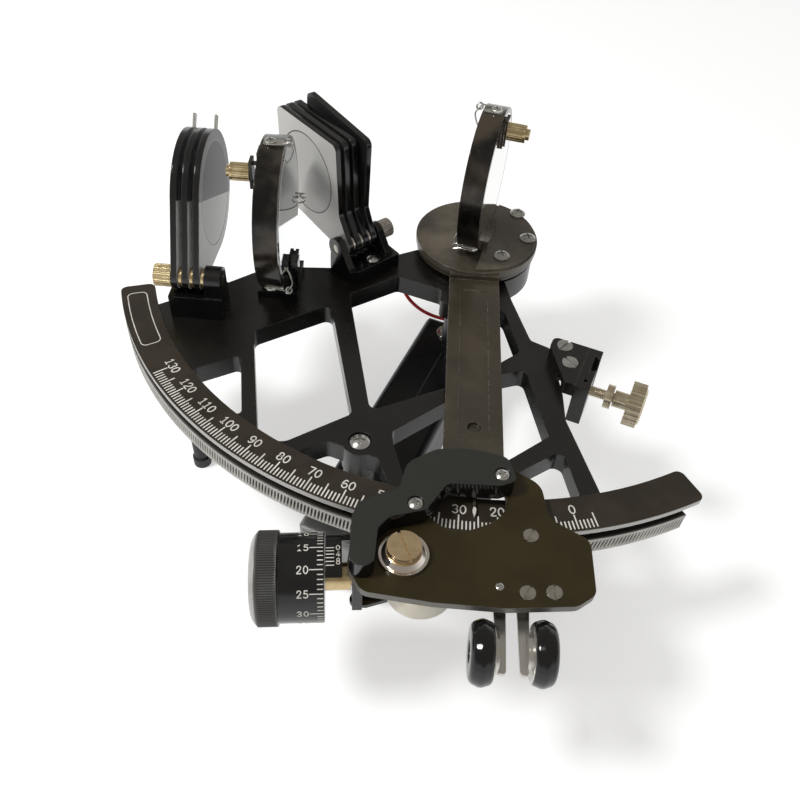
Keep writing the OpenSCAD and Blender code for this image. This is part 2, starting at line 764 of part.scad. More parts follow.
module index_shade_pin() {
  left = index_x(1) - leaf_t / 2 - 1.2;
  color("#cfccc4") at_index_pin() {
    bar(pin_r, left - 3, index_ear_x + 5);
    difference() {
      bar(4.4, index_ear_x + 3.4, index_ear_x + 9.4);
      for (k = [0:23]) rotate([k * 15, 0, 0])
        translate([index_ear_x, 4.7, 0]) rotate([0, 90, 0]) cylinder(r = 0.6, h = 30, $fn = 12);
    }
    for (i = [1:3]) difference() {
      bar(eye_r - 0.6, index_x(i) + leaf_t / 2 + 0.35, index_x(i + 1) - leaf_t / 2 - 0.35);
      bar(pin_r + run, index_x(i) - 5, index_x(i) + 8);
    }
  }
}
index_leaf_at = [5.5 + leaf_side / 2, 23.8];
module index_leaf() {
  s = leaf_side / 2;
  c = index_leaf_at;
  difference() {
    union() {
      bar(eye_r, -leaf_t / 2, leaf_t / 2);
      side_slab(rounded([
        [c[0] - s, c[1] + s + 1, 3], [c[0] - s - 2.2, 14, 3], [-4.6, 1.5, 0], [1, -4.8, 0],
        [12, -2.6, 3], [c[0] + s - 1.5, c[1] - s + 0.5, 4], [c[0] + s, c[1] + s + 1, 3]
      ]), -leaf_t / 2, leaf_t / 2);
    }
    bar(pin_r + run, -leaf_t, leaf_t);
    translate([0, c[0], c[1]]) bar(leaf_glass_r - 1, -leaf_t, leaf_t);
    translate([0, c[0], c[1]]) bar(leaf_glass_r, -leaf_t, glass_t - leaf_t / 2);
  }
}
function index_lift(i) = i == 4 ? 5.8 : 0;
module index_shade(i) {
  color("#161618") at_index_pin() translate([index_x(i), 0, 0]) rotate([index_lift(i), 0, 0]) index_leaf();
}
module index_glass(i) {
  color("#6b6c70") at_index_pin() translate([index_x(i), 0, 0]) rotate([index_lift(i), 0, 0])
    translate([0, index_leaf_at[0], index_leaf_at[1]])
      bar(leaf_glass_r - 0.02, -leaf_t / 2, glass_t - leaf_t / 2);
}
module index_shade_1() { index_shade(1); }
module index_shade_2() { index_shade(2); }
module index_shade_3() { index_shade(3); }
module index_shade_4() { index_shade(4); }
module index_glass_1() { index_glass(1); }
module index_glass_2() { index_glass(2); }
module index_glass_3() { index_glass(3); }
module index_glass_4() { index_glass(4); }

// Mirrors: local X is the mirror's back, Y level in its plane, Z up; the rim's centre is the origin
module at_horizon_mirror() {
  at_pivot() translate(horizon_mirror_at) rotate([0, 0, horizon_turn + 90]) children();
}
module at_index_mirror() {
  at_pivot() translate([0, 0, index_mirror_z]) rotate([0, 0, index_turn - 90]) children();
}
back_x = rim_t / 2;
// Height of the adjusting screw above the rim's centre, and the space behind the rim that it starts at
horizon_adjust = [18.6, 5];
index_adjust = [24.7, 2.2];
glass_face = -back_x - 0.4;
module mirror_frame(adjust) {
  z = adjust[0];
  plate_x = back_x + adjust[1] - 1.4;
  difference() {
    union() {
      bar(rim_r, -back_x, back_x);
      translate([back_x - 0.1, -3.5, z - 7]) cube([1.3, 7, rim_r - 2.5 - z + 7]);
      translate([plate_x, -3, z - 6]) cube([1.4, 6, 12]);
      for (dz = [-4.4, 4.4]) translate([0, 0, z + dz]) bar(0.9, back_x, plate_x + 0.3);
    }
    bar(mirror_r - 1.6, -rim_t, back_x - 1.5);
    bar(mirror_r, -rim_t, glass_face + mirror_t);
  }
}
module mirror_glass() {
  bar(mirror_r - 0.02, glass_face, glass_face + mirror_t);
}
// Spring clips: a plate screwed on the rim, a coil in front of it, and a leg down to the glass
module mirror_clips(angles) {
  front = glass_face - 1.8;
  for (a = angles) rotate([a - 90, 0, 0]) {
    difference() {
      union() {
        translate([front, -2, rim_r - 0.005]) cube([back_x - 2 - front, 4, 0.7]);
        translate([front, -1, rim_r + 0.7]) rotate([-90, 0, 0]) cylinder(r = 1.7, h = 2);
      }
      translate([front, -3, rim_r + 0.7]) rotate([-90, 0, 0]) cylinder(r = 0.9, h = 6);
    }
    hull() {
      translate([front - 1.5, -0.5, rim_r]) cube([0.6, 1, 0.8]);
      translate([glass_face - 0.7, -0.5, mirror_r - 5]) cube([0.7, 1, 0.8]);
    }
    translate([0.6, 0, rim_r + 0.6]) cross_screw(1, 2.3, 1.1, 0.5);
  }
}
module adjuster(adjust) {
  x = back_x + adjust[1];
  translate([0, 0, adjust[0]]) difference() {
    union() {
      bar(adjuster_r, x, x + adjuster_l - 1.6);
      bar(2.4, x + adjuster_l - 1.7, x + adjuster_l);
    }
    for (k = [0:17]) rotate([k * 20, 0, 0])
      translate([x - 1, adjuster_r + 0.3, 0]) rotate([0, 90, 0])
        cylinder(r = 0.5, h = adjuster_l - 1.6, $fn = 12);
  }
}

module horizon_mirror_base() {
  low = frame_top - horizon_mirror_at[2];
  color("#1a1a1c") at_horizon_mirror() difference() {
    union() {
      translate([-back_x - 4, -12, low]) cube([rim_t + 8, 24, 4]);
      translate([-back_x - 2.4, -10, low]) cube([rim_t + 4.8, 20, 12]);
      translate([-back_x - 4, 1, low]) cube([5, 6, 17]);
    }
    bar(rim_r + 0.01, -back_x, back_x);
    bar(mirror_r + 0.3, glass_face - 0.5, rim_t);
  }
}
module horizon_mirror_frame() {
  color("#242426") at_horizon_mirror() mirror_frame(horizon_adjust);
}
module horizon_mirror_glass() {
  color("#dfe3e6") at_horizon_mirror() mirror_glass();
}
module horizon_mirror_clips() {
  color("#c9c7c2") at_horizon_mirror() mirror_clips([92, -50, -158]);
}
module horizon_adjuster() {
  color("#c4a45c") at_horizon_mirror() adjuster(horizon_adjust);
}
module index_mirror_frame() {
  color("#242426") at_index_mirror() mirror_frame(index_adjust);
}
module index_mirror_glass() {
  color("#dfe3e6") at_index_mirror() mirror_glass();
}
module index_mirror_clips() {
  color("#c9c7c2") at_index_mirror() mirror_clips([88, -122, -18]);
}
module index_adjuster() {
  color("#c4a45c") at_index_mirror() adjuster(index_adjust);
}

// Index arm, in its own frame: local X runs outward along the arm
arm_c = -0.8;
module index_arm() {
  color("#2a2724") on_arm() difference() {
    union() {
      disc(disc_r - 0.6, arm_bot, arm_top);
      translate([10, arm_c - arm_w / 2, arm_bot]) cube([140, arm_w, arm_t]);
      translate([16, arm_c - arm_w / 2, arm_top - 0.1]) cube([14.5, arm_w, disc_t - 0.5]);
    }
    disc(disc_r + 0.02, disc_bot, disc_top + 2);
    disc(shaft_r + 0.01, -2, disc_top + 2);
    translate([38, arm_c - 6, arm_top - 0.4]) cube([90, 12, 2]);
    translate([121, -0.6, 0]) disc(2.8, arm_top - 2, arm_top + 1);
    slab(rounded(plate_outline), plate_bot - 1, plate_top + 1);
    for (p = disc_screws_at) translate([p[0], p[1], 0]) disc(1.6, -2, arm_top + 1);
  }
}

plate_outline = [
  [139.2, -13, 8], [146.5, -26.2, 6], [159.5, -27.5, 4], [166.5, -42.3, 8], [187.5, -43, 7], [196.4, -37.2, 5],
  [198.4, -14, 20], [198.4, 10, 20], [195.6, 33.5, 6], [190.6, 40, 4], [169.6, 40, 5], [161.5, 26, 8],
  [147, 24, 8], [139.6, 12.5, 8]
];
guide_outline = [
  [150.4, 13.6, 3], [141.4, 11, 5], [138.8, -2, 12], [140.2, -15, 9], [147.5, -25.6, 8], [159.2, -27.4, 4],
  [165.6, -40.6, 8], [172.5, -42.8, 5], [191.6, -42, 4.5], [191.6, -33.8, 4], [176.5, -33.6, 4],
  [171.6, -30, 5], [167.6, -17.8, 4], [155.4, -10.6, 4], [154.8, 8, 3], [152.4, 13, 2]
];
disc_screws_at = [for (p = [[12.7, 24.4], [23.3, 6.8], [16.4, -12.1]])
  [p[0] * cos(arm_dir) + p[1] * sin(arm_dir), p[1] * cos(arm_dir) - p[0] * sin(arm_dir)]];
guide_screws_at = [[165, -21.5], [149.4, 8.8]];
plate_slots_at = [[169.3, 19.2], [192, 17.2], [191, 26]];
lamp_at = [181.6, -24.3];

// Disc on the arm's boss, with the mirror's flange and cradle on it
module index_mirror_base() {
  color("#1e1d1c") on_arm() difference() {
    union() {
      disc(disc_r, disc_bot, disc_top);
      rotate([0, 0, -arm_dir]) intersection() {
        disc(disc_r - 1, disc_top - 0.1, disc_top + flange_t);
        rotate([0, 0, index_turn - 90]) translate([back_x + 0.4, -40, 0]) cube([40, 80, 30]);
      }
      rotate([0, 0, -arm_dir + index_turn - 90]) translate([-back_x - 2.2, -10, disc_top - 0.1])
        cube([rim_t + 4.4, 20, 8]);
    }
    rotate([0, 0, -arm_dir + index_turn - 90]) translate([0, 0, index_mirror_z]) {
      bar(rim_r + 0.01, -back_x, back_x);
      bar(mirror_r + 0.3, -rim_t, rim_t);
    }
    for (p = disc_screws_at) translate([p[0], p[1], 0]) disc(1.6, disc_bot - 1, disc_top + flange_t + 1);
    disc(shaft_r + 0.01, disc_bot - 1, disc_bot + 1.2);
  }
}

module arm_screws() {
  color("#cbc9c4") on_arm() {
    for (p = disc_screws_at) translate([p[0], p[1], disc_top + flange_t]) rotate([0, 0, p[1] * 7])
      cross_screw(1.55, 3.8, 2.2, flange_t + disc_t + arm_t - 0.4);
    for (p = guide_screws_at) translate([p[0], p[1], plate_top + guide_h - 0.6])
      cross_screw(1.2, 2.7, 1.2, guide_h);
    translate([190.5, 8, plate_top]) cross_screw(0.9, 1.7, 0.5, 2);
  }
}

module index_plate() {
  color("#26231f") on_arm() difference() {
    slab(rounded(plate_outline), plate_bot, plate_top);
    hull() for (p = [[155, -1.2], [157.5, -6]]) translate(p) disc(window_r, plate_bot - 1, plate_top + 1);
    for (p = plate_slots_at) translate([p[0], p[1], 0]) {
      disc(1.6, plate_bot - 1, plate_top + 1);
      disc(2.9, plate_top - 0.8, plate_top + 1);
    }
    for (p = guide_screws_at) translate([p[0], p[1], 0]) disc(1.22, plate_bot - 1, plate_top + 1);
    translate([190.5, 8, 0]) disc(0.95, plate_bot - 1, plate_top + 1);
    translate([lamp_at[0], lamp_at[1], 0]) disc(5, plate_bot - 1, plate_top + 1);
    for (p = lever_pins) translate([p[0], p[1], 0]) disc(1.5, plate_bot - 1, plate_top - 1);
  }
}

module plate_screws() {
  color("#b9b4a6") on_arm() {
    for (p = plate_slots_at)
      translate([p[0], p[1], plate_top - 0.8]) rotate([0, 0, 100 + p[1] * 3]) slot_screw(1.5, 2.7, 0.9, 2.1);
    translate([carrier_pin[0], carrier_pin[1], 0]) {
      disc(carrier_pin_r, carrier_bot - gap - 0.1, plate_bot);
      disc(carrier_pin_r + 2, carrier_bot - gap - 1.4, carrier_bot - gap);
    }
  }
}

module light_guide() {
  color("#161719") on_arm() difference() {
    slab(rounded(guide_outline), plate_top, plate_top + guide_h);
    for (p = guide_screws_at) translate([p[0], p[1], 0]) {
      disc(1.25, plate_top - 1, plate_top + guide_h + 1);
      disc(2.9, plate_top + guide_h - 0.6, plate_top + guide_h + 1);
    }
  }
}

module lamp_cap() {
  color("#d9d4cd") on_arm() translate([lamp_at[0], lamp_at[1], plate_top]) difference() {
    union() {
      translate([0, 0, -plate_t]) cylinder(r = 4.95, h = plate_t);
      cylinder(r = 8.6, h = 1.4);
      translate([0, 0, 1.4]) cylinder(r1 = 7.6, r2 = 6.2, h = 1.6);
      translate([0, 0, 3]) cylinder(r = 5.9, h = 3.2);
    }
    rotate([0, 0, 23]) translate([-7, -0.55, 4.9]) cube([14, 1.1, 3]);
  }
}

module lamp_housing() {
  color("#e6e0cf") on_arm() difference() {
    translate([186.2, -18, 0]) disc(12.2, -7.6, plate_bot);
    translate([170, -43, -9]) cube([16.8, 50, 12]);
  }
}

module pivot_shaft() {
  color("#9c9c9e") on_arm() union() {
    disc(shaft_r, -boss_h - 4.5, disc_bot + 1.2);
    disc(shaft_r + 4, -boss_h - 5.4, -boss_h - 1.5 - gap);
  }
}

// Worm carrier swings outward about its pin; the worm's axis leans away from the limb
module at_worm() {
  on_arm() translate(worm_at) rotate([0, 0, worm_lean]) rotate([90, 0, 0]) children();
}
worm_half = worm_l / 2;
drum_start = 51.4;
carrier_t = 2;
carrier_bot = worm_at[2] - worm_r - gap - carrier_t;
wall_z = 38.5;
wall_t = 3.5;
sleeve_r = drum_r - 0.8;
sleeve_t = 1.8;
thread_pitch = 1.46;
module cheek(z, t) {
  bottom = carrier_bot - worm_at[2] + 1;
  translate([-6, bottom, z]) cube([12, worm_shaft_r + 1.2 - bottom, t]);
}
module sleeve_part(z0, z1, a0, a1) {
  intersection() {
    difference() {
      disc(sleeve_r, z0, z1);
      disc(sleeve_r - sleeve_t, z0 - 1, z1 + 1);
    }
    slab(concat([[0, 0]], arc(sleeve_r * 1.5, a0, a1, 4)), z0 - 1, z1 + 1);
  }
}
module worm_carrier() {
  color("#3b3b3d") {
    on_arm() difference() {
      union() {
        slab(rounded([
          [169, -36, 2], [188, -43, 3], [188, -36, 3], [179, -14, 3], [181, 8, 3], [183, 27, 6], [181, 38, 5],
          [171, 38, 5], [168.8, 8, 2]
        ]), carrier_bot, carrier_bot + carrier_t);
        translate([carrier_pin[0], carrier_pin[1], 0]) disc(5, carrier_bot, plate_bot - gap);
      }
      translate([carrier_pin[0], carrier_pin[1], 0]) disc(carrier_pin_r + run, carrier_bot - 1, 2);
    }
    at_worm() difference() {
      union() {
        cheek(-worm_half - gap - 3, 3);
        cheek(worm_half + gap, 3);
        intersection() {
          disc(sleeve_r, wall_z, wall_z + wall_t);
          translate([-13, carrier_bot - worm_at[2] + 1, wall_z])
            cube([21, plate_bot - gap - carrier_bot - 1, wall_t]);
        }
        sleeve_part(wall_z + wall_t - 0.1, 45.5, 129, 168);
        sleeve_part(45.4, drum_start - gap, 57, 168);
      }
      translate([0, 0, -20]) cylinder(r = worm_shaft_r + run, h = 80);
    }
  }
}

// Shaft with the worm's threads and the brass sleeve inside the drum
module worm_shaft() {
  color("#b98f3e") at_worm() union() {
    translate([0, 0, -worm_half - gap - 3.5])
      cylinder(r = worm_shaft_r, h = drum_start + worm_half + gap + 3.5);
    rotate_extrude() polygon(concat(
      [[worm_shaft_r - 0.2, -worm_half]],
      [for (k = [0:6]) each [
        [worm_r - thread_d, -worm_half + 0.05 + k * thread_pitch],
        [worm_r, -worm_half + 0.55 + k * thread_pitch],
        [worm_r, -worm_half + 0.9 + k * thread_pitch],
        [worm_r - thread_d, -worm_half + 1.4 + k * thread_pitch]
      ]],
      [[worm_shaft_r - 0.2, worm_half]]
    ));
    translate([0, 0, wall_z + wall_t + gap])
      cylinder(r = worm_shaft_r + 1.6, h = drum_start - wall_z - wall_t - gap);
  }
}

module micrometer_drum() {
  color("#1d1d1f") at_worm() translate([0, 0, drum_start]) difference() {
    union() {
      cylinder(r = drum_r, h = drum_l + 0.1);
      translate([0, 0, drum_l]) cylinder(r = knurl_r, h = knurl_l);
      translate([0, 0, drum_l + knurl_l]) cylinder(r1 = knurl_r - 0.7, r2 = knurl_r - 3.4, h = 2.4);
    }
    for (k = [0:59]) rotate([0, 0, k * 6]) translate([knurl_r + 0.25, 0, drum_l + 0.8])
      cylinder(r = 0.55, h = knurl_l - 1.6, $fn = 12);
  }
}

// Release levers: a flat tongue on a pin, with a round pad at its end
lever_z = -4.6;
pads = [[209.4, 2.4], [208.2, 23.2]];
module lever(i) {
  s = i == 0 ? -1 : 1;
  p = lever_pins[i];
  on_arm() {
    color("#c8c5bd") union() {
      slab(rounded([
        [p[0] - 4, p[1] - 3.7, 3], [p[0] - 4, p[1] + 3.7, 3], [p[0] + 4, p[1] + 2.2, 1],
        [216.5, p[1] + 1.3 - s * 0.4, 1], [216.5, p[1] - 1.3 - s * 0.4, 1], [p[0] + 4, p[1] - 2.2, 1]
      ]), lever_z - 1.6, lever_z);
      translate([p[0], p[1], 0]) disc(1.45, lever_z - 0.1, plate_top - 1.1);
      translate([p[0], p[1], 0]) disc(3.4, lever_z - 0.1, plate_bot - gap);
      translate([pads[i][0], p[1] + s * 0.6, lever_z - 1]) rotate([s * -90, 0, 0]) cylinder(r = 6.5, h = 1.4);
    }
    color("#0e0e10") translate([pads[i][0], p[1] + s * 2, lever_z - 1]) rotate([s * -90, 0, 0])
      rotate_extrude() polygon(rounded([
        [0, 0, 0], [9.6, 0, 2], [11, 4, 3], [9.4, 8, 2.5], [3.4, 8, 1], [3, 6.2, 0], [0, 6.2, 0]
      ], 5));
  }
}
module lever_left() { lever(0); }
module lever_right() { lever(1); }

frame_casting();
limb_arc();
limb_rack();
pivot_bush();
feet();
handle_left();
handle_right();
handle_posts();
frame_screws();
switch_bezel();
battery_pack();
wire();
telescope_base();
telescope_rail();
telescope_screws();
horizon_shade_bracket();
horizon_shade_pin();
index_shade_bracket();
index_shade_pin();
horizon_mirror_base();
horizon_mirror_frame();
horizon_mirror_glass();
horizon_mirror_clips();
horizon_adjuster();
lamp_button();
handle_end();
clamp_collar();
clamp_screw();
horizon_shade_1();
horizon_shade_2();
horizon_shade_3();
horizon_glass_1();
horizon_glass_2();
horizon_glass_3();
index_shade_1();
index_shade_2();
index_shade_3();
index_shade_4();
index_glass_1();
index_glass_2();
index_glass_3();
index_glass_4();
index_arm();
index_mirror_base();
arm_screws();
plate_screws();
index_mirror_frame();
index_mirror_glass();
index_mirror_clips();
index_adjuster();
index_plate();
light_guide();
lamp_cap();
lamp_housing();
pivot_shaft();
worm_carrier();
worm_shaft();
micrometer_drum();
lever_left();
lever_right();
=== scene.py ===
"""A sextant on its three feet, seen from above with its limb towards the camera."""

import math

import bmesh
import bpy
from mathutils import Matrix, Vector


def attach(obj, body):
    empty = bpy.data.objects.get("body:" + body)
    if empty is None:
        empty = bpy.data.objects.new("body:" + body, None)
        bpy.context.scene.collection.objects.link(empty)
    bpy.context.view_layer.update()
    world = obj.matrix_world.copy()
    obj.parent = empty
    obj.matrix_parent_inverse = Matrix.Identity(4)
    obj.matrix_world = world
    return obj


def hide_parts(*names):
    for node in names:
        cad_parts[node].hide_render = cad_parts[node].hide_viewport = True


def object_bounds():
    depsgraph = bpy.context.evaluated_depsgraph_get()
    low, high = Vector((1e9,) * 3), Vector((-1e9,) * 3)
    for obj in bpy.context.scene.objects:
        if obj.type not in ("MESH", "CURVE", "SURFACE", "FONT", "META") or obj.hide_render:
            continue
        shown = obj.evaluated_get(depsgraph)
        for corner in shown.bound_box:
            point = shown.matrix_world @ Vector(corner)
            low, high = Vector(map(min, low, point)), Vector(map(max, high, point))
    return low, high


MM = 0.001

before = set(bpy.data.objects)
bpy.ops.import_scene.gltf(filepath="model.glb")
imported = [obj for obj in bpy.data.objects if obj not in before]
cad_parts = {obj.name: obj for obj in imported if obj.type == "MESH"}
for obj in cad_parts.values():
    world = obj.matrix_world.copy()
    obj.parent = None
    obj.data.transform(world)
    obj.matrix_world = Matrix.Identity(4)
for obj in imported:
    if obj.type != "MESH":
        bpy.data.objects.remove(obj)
cad_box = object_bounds()


# Places, in millimetres


def move(x, y, z):
    return Matrix.Translation(Vector((x, y, z)))


def turn(degrees, axis):
    return Matrix.Rotation(math.radians(degrees), 4, axis)


def polar(radius, degrees, height=0.0):
    angle = math.radians(degrees)
    return Vector((radius * math.cos(angle), radius * math.sin(angle), height))


# The arm's pivot, with the limb's face at height 0
PIVOT = move(2.27, 90.66, 78)
# X runs out along the index arm
ARM = PIVOT @ turn(-70.5, "Z")
# Z runs along the worm, from the worm towards the drum
WORM = ARM @ move(176.8, 0, -11) @ turn(7, "Z") @ turn(90, "X")
# X is the way that a mirror's back looks
HORIZON_MIRROR = PIVOT @ move(-71.4, -65, 37.4) @ turn(200.5, "Z")
INDEX_MIRROR = PIVOT @ move(0, 0, 38.8) @ turn(7, "Z")
# X runs along the pin that the shades swing on
HORIZON_PIN = PIVOT @ move(-91.3, -96.7, 17.3) @ turn(19, "Z")
INDEX_PIN = PIVOT @ move(-47.8, -37.7, 12.5) @ turn(62, "Z")
# Z runs out along the clamp screw
CLAMP_SCREW = PIVOT @ move(75.7, -72, 1.2) @ turn(90, "Y")

LIMB_OUTER = 167.3


def scale_angle(degree):
    """Where a degree of the limb's scale lies, as an angle about the pivot."""
    return -90 - (degree - 65) * 0.5


def direction(place, axis):
    """A frame's own axis, as a direction of the whole part."""
    return (place.to_3x3() @ Vector(axis)).normalized()


# Camera and lead wire

camera = bpy.data.objects.new("camera", bpy.data.cameras.new("camera"))
bpy.context.collection.objects.link(camera)
camera.data.lens = 37.57040254750846
camera.data.sensor_width = 36
camera.data.clip_start = 0.01
camera.data.dof.use_dof = False
right = Vector((0.91840932, 0.39253889, 0.04937137))
up = Vector((-0.31762182, 0.657153, 0.68356881))
back = Vector((0.2358828, -0.64347739, 0.72821436))
stand = Vector((0.08857285, -0.2356026, 0.32264483))
camera.matrix_world = Matrix([[right[i], up[i], back[i], stand[i]] for i in range(3)] + [[0, 0, 0, 1]])
bpy.context.scene.camera = camera


def through(points, steps=6, closed=False):
    """A smooth line through the points, which it passes exactly."""
    points = [Vector(point) for point in points]
    count = len(points)
    line = []
    for i in range(count if closed else count - 1):
        if closed:
            a, b, c, d = (points[(i + k) % count] for k in (-1, 0, 1, 2))
        else:
            b, c = points[i], points[i + 1]
            a = points[i - 1] if i else b * 2 - c
            d = points[i + 2] if i + 2 < count else c * 2 - b
        for k in range(steps):
            t = k / steps
            square = (a * 2 - b * 5 + c * 4 - d) * t * t
            cube = (b * 3 - a - c * 3 + d) * t**3
            line.append((b * 2 + (c - a) * t + square + cube) * 0.5)
    return line if closed else line + [points[-1]]


WIRE_ROUTE = [
    (-26, -28.2, -9.5), (-25.6, -28.9, -11.5), (-23.8, -30.2, -14.5), (-20.2, -30.6, -18.4),
    (-15.4, -29.2, -23), (-10, -26.2, -27.2), (-4, -22.4, -30.6), (1.5, -20.8, -32.2), (4.6, -21.6, -33.4),
    (5, -22.5, -35),
]
WIRE_RADIUS = 0.85

wire_line = [PIVOT @ point * MM for point in through(WIRE_ROUTE)]
wire_curve = bpy.data.curves.new("lead_wire", "CURVE")
wire_curve.dimensions = "3D"
# Each point's own radius is the wire's, so that the curve's box is true
wire_curve.bevel_depth = 1.0
wire_curve.bevel_resolution = 5
wire_curve.use_fill_caps = True
wire_spline = wire_curve.splines.new("POLY")
wire_spline.points.add(len(wire_line) - 1)
for point, spot in zip(wire_spline.points, wire_line):
    point.co = (*spot, 1)
    point.radius = WIRE_RADIUS * MM
wire_spline.use_smooth = True
lead_wire = bpy.data.objects.new("lead_wire", wire_curve)
bpy.context.collection.objects.link(lead_wire)
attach(lead_wire, "frame")
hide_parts("wire")
sum((b - a).length for a, b in zip(wire_line, wire_line[1:]))


# Shader nodes


class Signal:
    """A value in a node tree that takes part in sums like a number."""

    def __init__(self, tree, socket):
        self.tree = tree
        self.socket = socket

    def maths(self, operation, *values, limit=False):
        return self.tree.node(
            "ShaderNodeMath", {"operation": operation, "use_clamp": limit}, dict(enumerate(values))
        )

    def __add__(self, other):
        return self.maths("ADD", self, other)

    __radd__ = __add__

    def __mul__(self, other):
        return self.maths("MULTIPLY", self, other)

    __rmul__ = __mul__

    def __sub__(self, other):
        return self.maths("SUBTRACT", self, other)

    def __rsub__(self, other):
        return self.maths("SUBTRACT", other, self)

    def __truediv__(self, other):
        return self.maths("DIVIDE", self, other)

    def __gt__(self, other):
        return self.maths("GREATER_THAN", self, other)

    def __lt__(self, other):
        return self.maths("LESS_THAN", self, other)

    def __abs__(self):
        return self.maths("ABSOLUTE", self)

    def limited(self):
        """The same value, kept between 0 and 1."""
        return self.maths("ADD", self, 0.0, limit=True)

    def rise(self, low, high):
        """0 below the low value, 1 above the high one, and a smooth step between them."""
        return self.tree.node(
            "ShaderNodeMapRange", {"interpolation_type": "SMOOTHSTEP"},
            {"Value": self, "From Min": low, "From Max": high},
        )


class Tree:
    """A node tree and the one way that nodes are added to it."""

    def __init__(self, tree):
        self.tree = tree

    def node(self, kind, settings=None, values=None, output=0):
        made = self.tree.nodes.new(kind)
        for key, value in (settings or {}).items():
            setattr(made, key, value)
        for key, value in (values or {}).items():
            self.feed(made.inputs[key], value)
        return Signal(self, made.outputs[output])

    def feed(self, socket, value):
        if isinstance(value, Signal):
            self.tree.links.new(value.socket, socket)
        else:
            socket.default_value = value

    def mix(self, mask, first, second):
        """The first colour where the mask is 0, and the second where it is 1."""
        return self.node("ShaderNodeMix", {"data_type": "RGBA"}, {0: mask, 6: first, 7: second}, output=2)

    def vector(self, operation, *values, output=0):
        return self.node("ShaderNodeVectorMath", {"operation": operation}, dict(enumerate(values)), output)


def paint(red, green, blue):
    """A colour as a picture shows it, 0 to 255, in linear light."""
    return tuple(
        c / 255 / 12.92 if c <= 10 else ((c / 255 + 0.055) / 1.055) ** 2.4 for c in (red, green, blue)
    ) + (1.0,)


# Outputs of the Texture Coordinate and Geometry nodes
OBJECT_NORMAL, OBJECT_SPOT, GEOMETRY_NORMAL = 1, 3, 1


class Finish(Tree):
    """A surface: mottled colour, edges lighter and glossier in patches (partly wear, partly painted
    highlight), fine relief, and the looks that masks lay over it.
    """

    def __init__(
        self, name, colour, second=None, metallic=0.0, roughness=0.4, spread=0.08, patch=14.0, grain=0.6,
        stretch=(1, 1, 1), relief=0.012, rounding=0.35, edge=None, wear=0.0, specular=0.5, coat=0.0,
        coat_roughness=0.1,
    ):
        self.material = bpy.data.materials.new(name)
        self.material.use_nodes = True
        super().__init__(self.material.node_tree)
        self.shader = self.tree.nodes["Principled BSDF"]
        self.spot = self.vector("SCALE", self.node("ShaderNodeTexCoord", output=OBJECT_SPOT))
        self.spot.socket.node.inputs["Scale"].default_value = 1 / MM
        mottle = self.noise(patch, detail=4)
        fine = self.noise(grain, detail=2, stretch=stretch)
        self.colour = self.mix(mottle.rise(0.35, 0.65), paint(*colour), paint(*(second or colour)))
        self.metal = metallic
        self.rough = roughness + (self.noise(patch * 0.35, detail=5) - 0.5) * (2 * spread)
        self.rough = self.rough + (fine - 0.5) * (0.5 * spread)
        rounded = self.node("ShaderNodeBevel", {"samples": 4}, {"Radius": rounding * MM})
        flat = self.node("ShaderNodeNewGeometry", output=GEOMETRY_NORMAL)
        self.edge = 1 - self.vector("DOT_PRODUCT", rounded, flat, output=1)
        self.normal = self.node(
            "ShaderNodeBump", None,
            {"Strength": 1.0, "Distance": relief * MM, "Height": fine, "Normal": rounded},
        )
        if edge:
            # Patches on the edges made lighter and glossier: partly wear, partly a painted highlight
            edge_wear_and_shine = (self.edge * 9).limited() * self.noise(2.2, detail=5).rise(0.42, 0.62) * wear
            self.over(edge_wear_and_shine, colour=edge, roughness=max(0.2, roughness - 0.08))
        self.shader.inputs["Specular IOR Level"].default_value = specular
        self.shader.inputs["Coat Weight"].default_value = coat
        self.shader.inputs["Coat Roughness"].default_value = coat_roughness

    def noise(self, size, detail=3, stretch=(1, 1, 1)):
        spot = self.vector("MULTIPLY", self.spot, stretch) if stretch != (1, 1, 1) else self.spot
        return self.node(
            "ShaderNodeTexNoise", None,
            {"Vector": spot, "Scale": 1 / size, "Detail": detail, "Roughness": 0.55},
        )

    def along(self, axis, start):
        """How far a spot lies along an axis from a starting point, in millimetres."""
        axis = Vector(axis)
        return self.vector("DOT_PRODUCT", self.spot, tuple(axis), output=1) - axis.dot(Vector(start))

    def away(self, axis, start):
        """How far a spot lies from a line, in millimetres."""
        arm = self.vector("SUBTRACT", self.spot, tuple(start))
        return self.vector("LENGTH", self.vector("CROSS_PRODUCT", arm, tuple(axis)), output=1)

    def facing(self, axis):
        """1 where the surface looks along the axis, -1 where it looks the other way."""
        normal = self.node("ShaderNodeTexCoord", output=OBJECT_NORMAL)
        return self.vector("DOT_PRODUCT", normal, tuple(axis), output=1)

    def over(self, mask, colour=None, roughness=None, metallic=None):
        """Another look where the mask is 1."""
        if colour is not None:
            self.colour = self.mix(mask, self.colour, paint(*colour))
        if roughness is not None:
            self.rough = self.rough + mask * (roughness - self.rough)
        if metallic is not None:
            self.metal = self.metal + mask * (metallic - self.metal)
        return self

    def done(self):
        for socket, value in (
            ("Base Color", self.colour), ("Metallic", self.metal), ("Roughness", self.rough),
            ("Normal", self.normal)
        ):
            self.feed(self.shader.inputs[socket], value)
        return self.material


# Finishes

UP = (0, 0, 1)


def frame_enamel():
    return Finish(
        "frame_enamel", (13, 12, 10), (20, 18, 15), roughness=0.26, spread=0.06, patch=22, grain=0.45,
        relief=0.012, rounding=0.5, edge=(92, 88, 80), wear=0.35, specular=0.55,
    ).done()


def limb_enamel():
    finish = Finish(
        "limb_enamel", (42, 36, 28), (52, 45, 36), roughness=0.36, patch=16, grain=0.5, relief=0.01,
        rounding=0.2, edge=(150, 146, 138), wear=0.5, specular=0.35,
    )
    rim = finish.away(UP, PIVOT.translation).rise(LIMB_OUTER - 0.25, LIMB_OUTER - 0.1)
    return finish.over(rim, colour=(168, 167, 163), roughness=0.34, metallic=0.75).done()


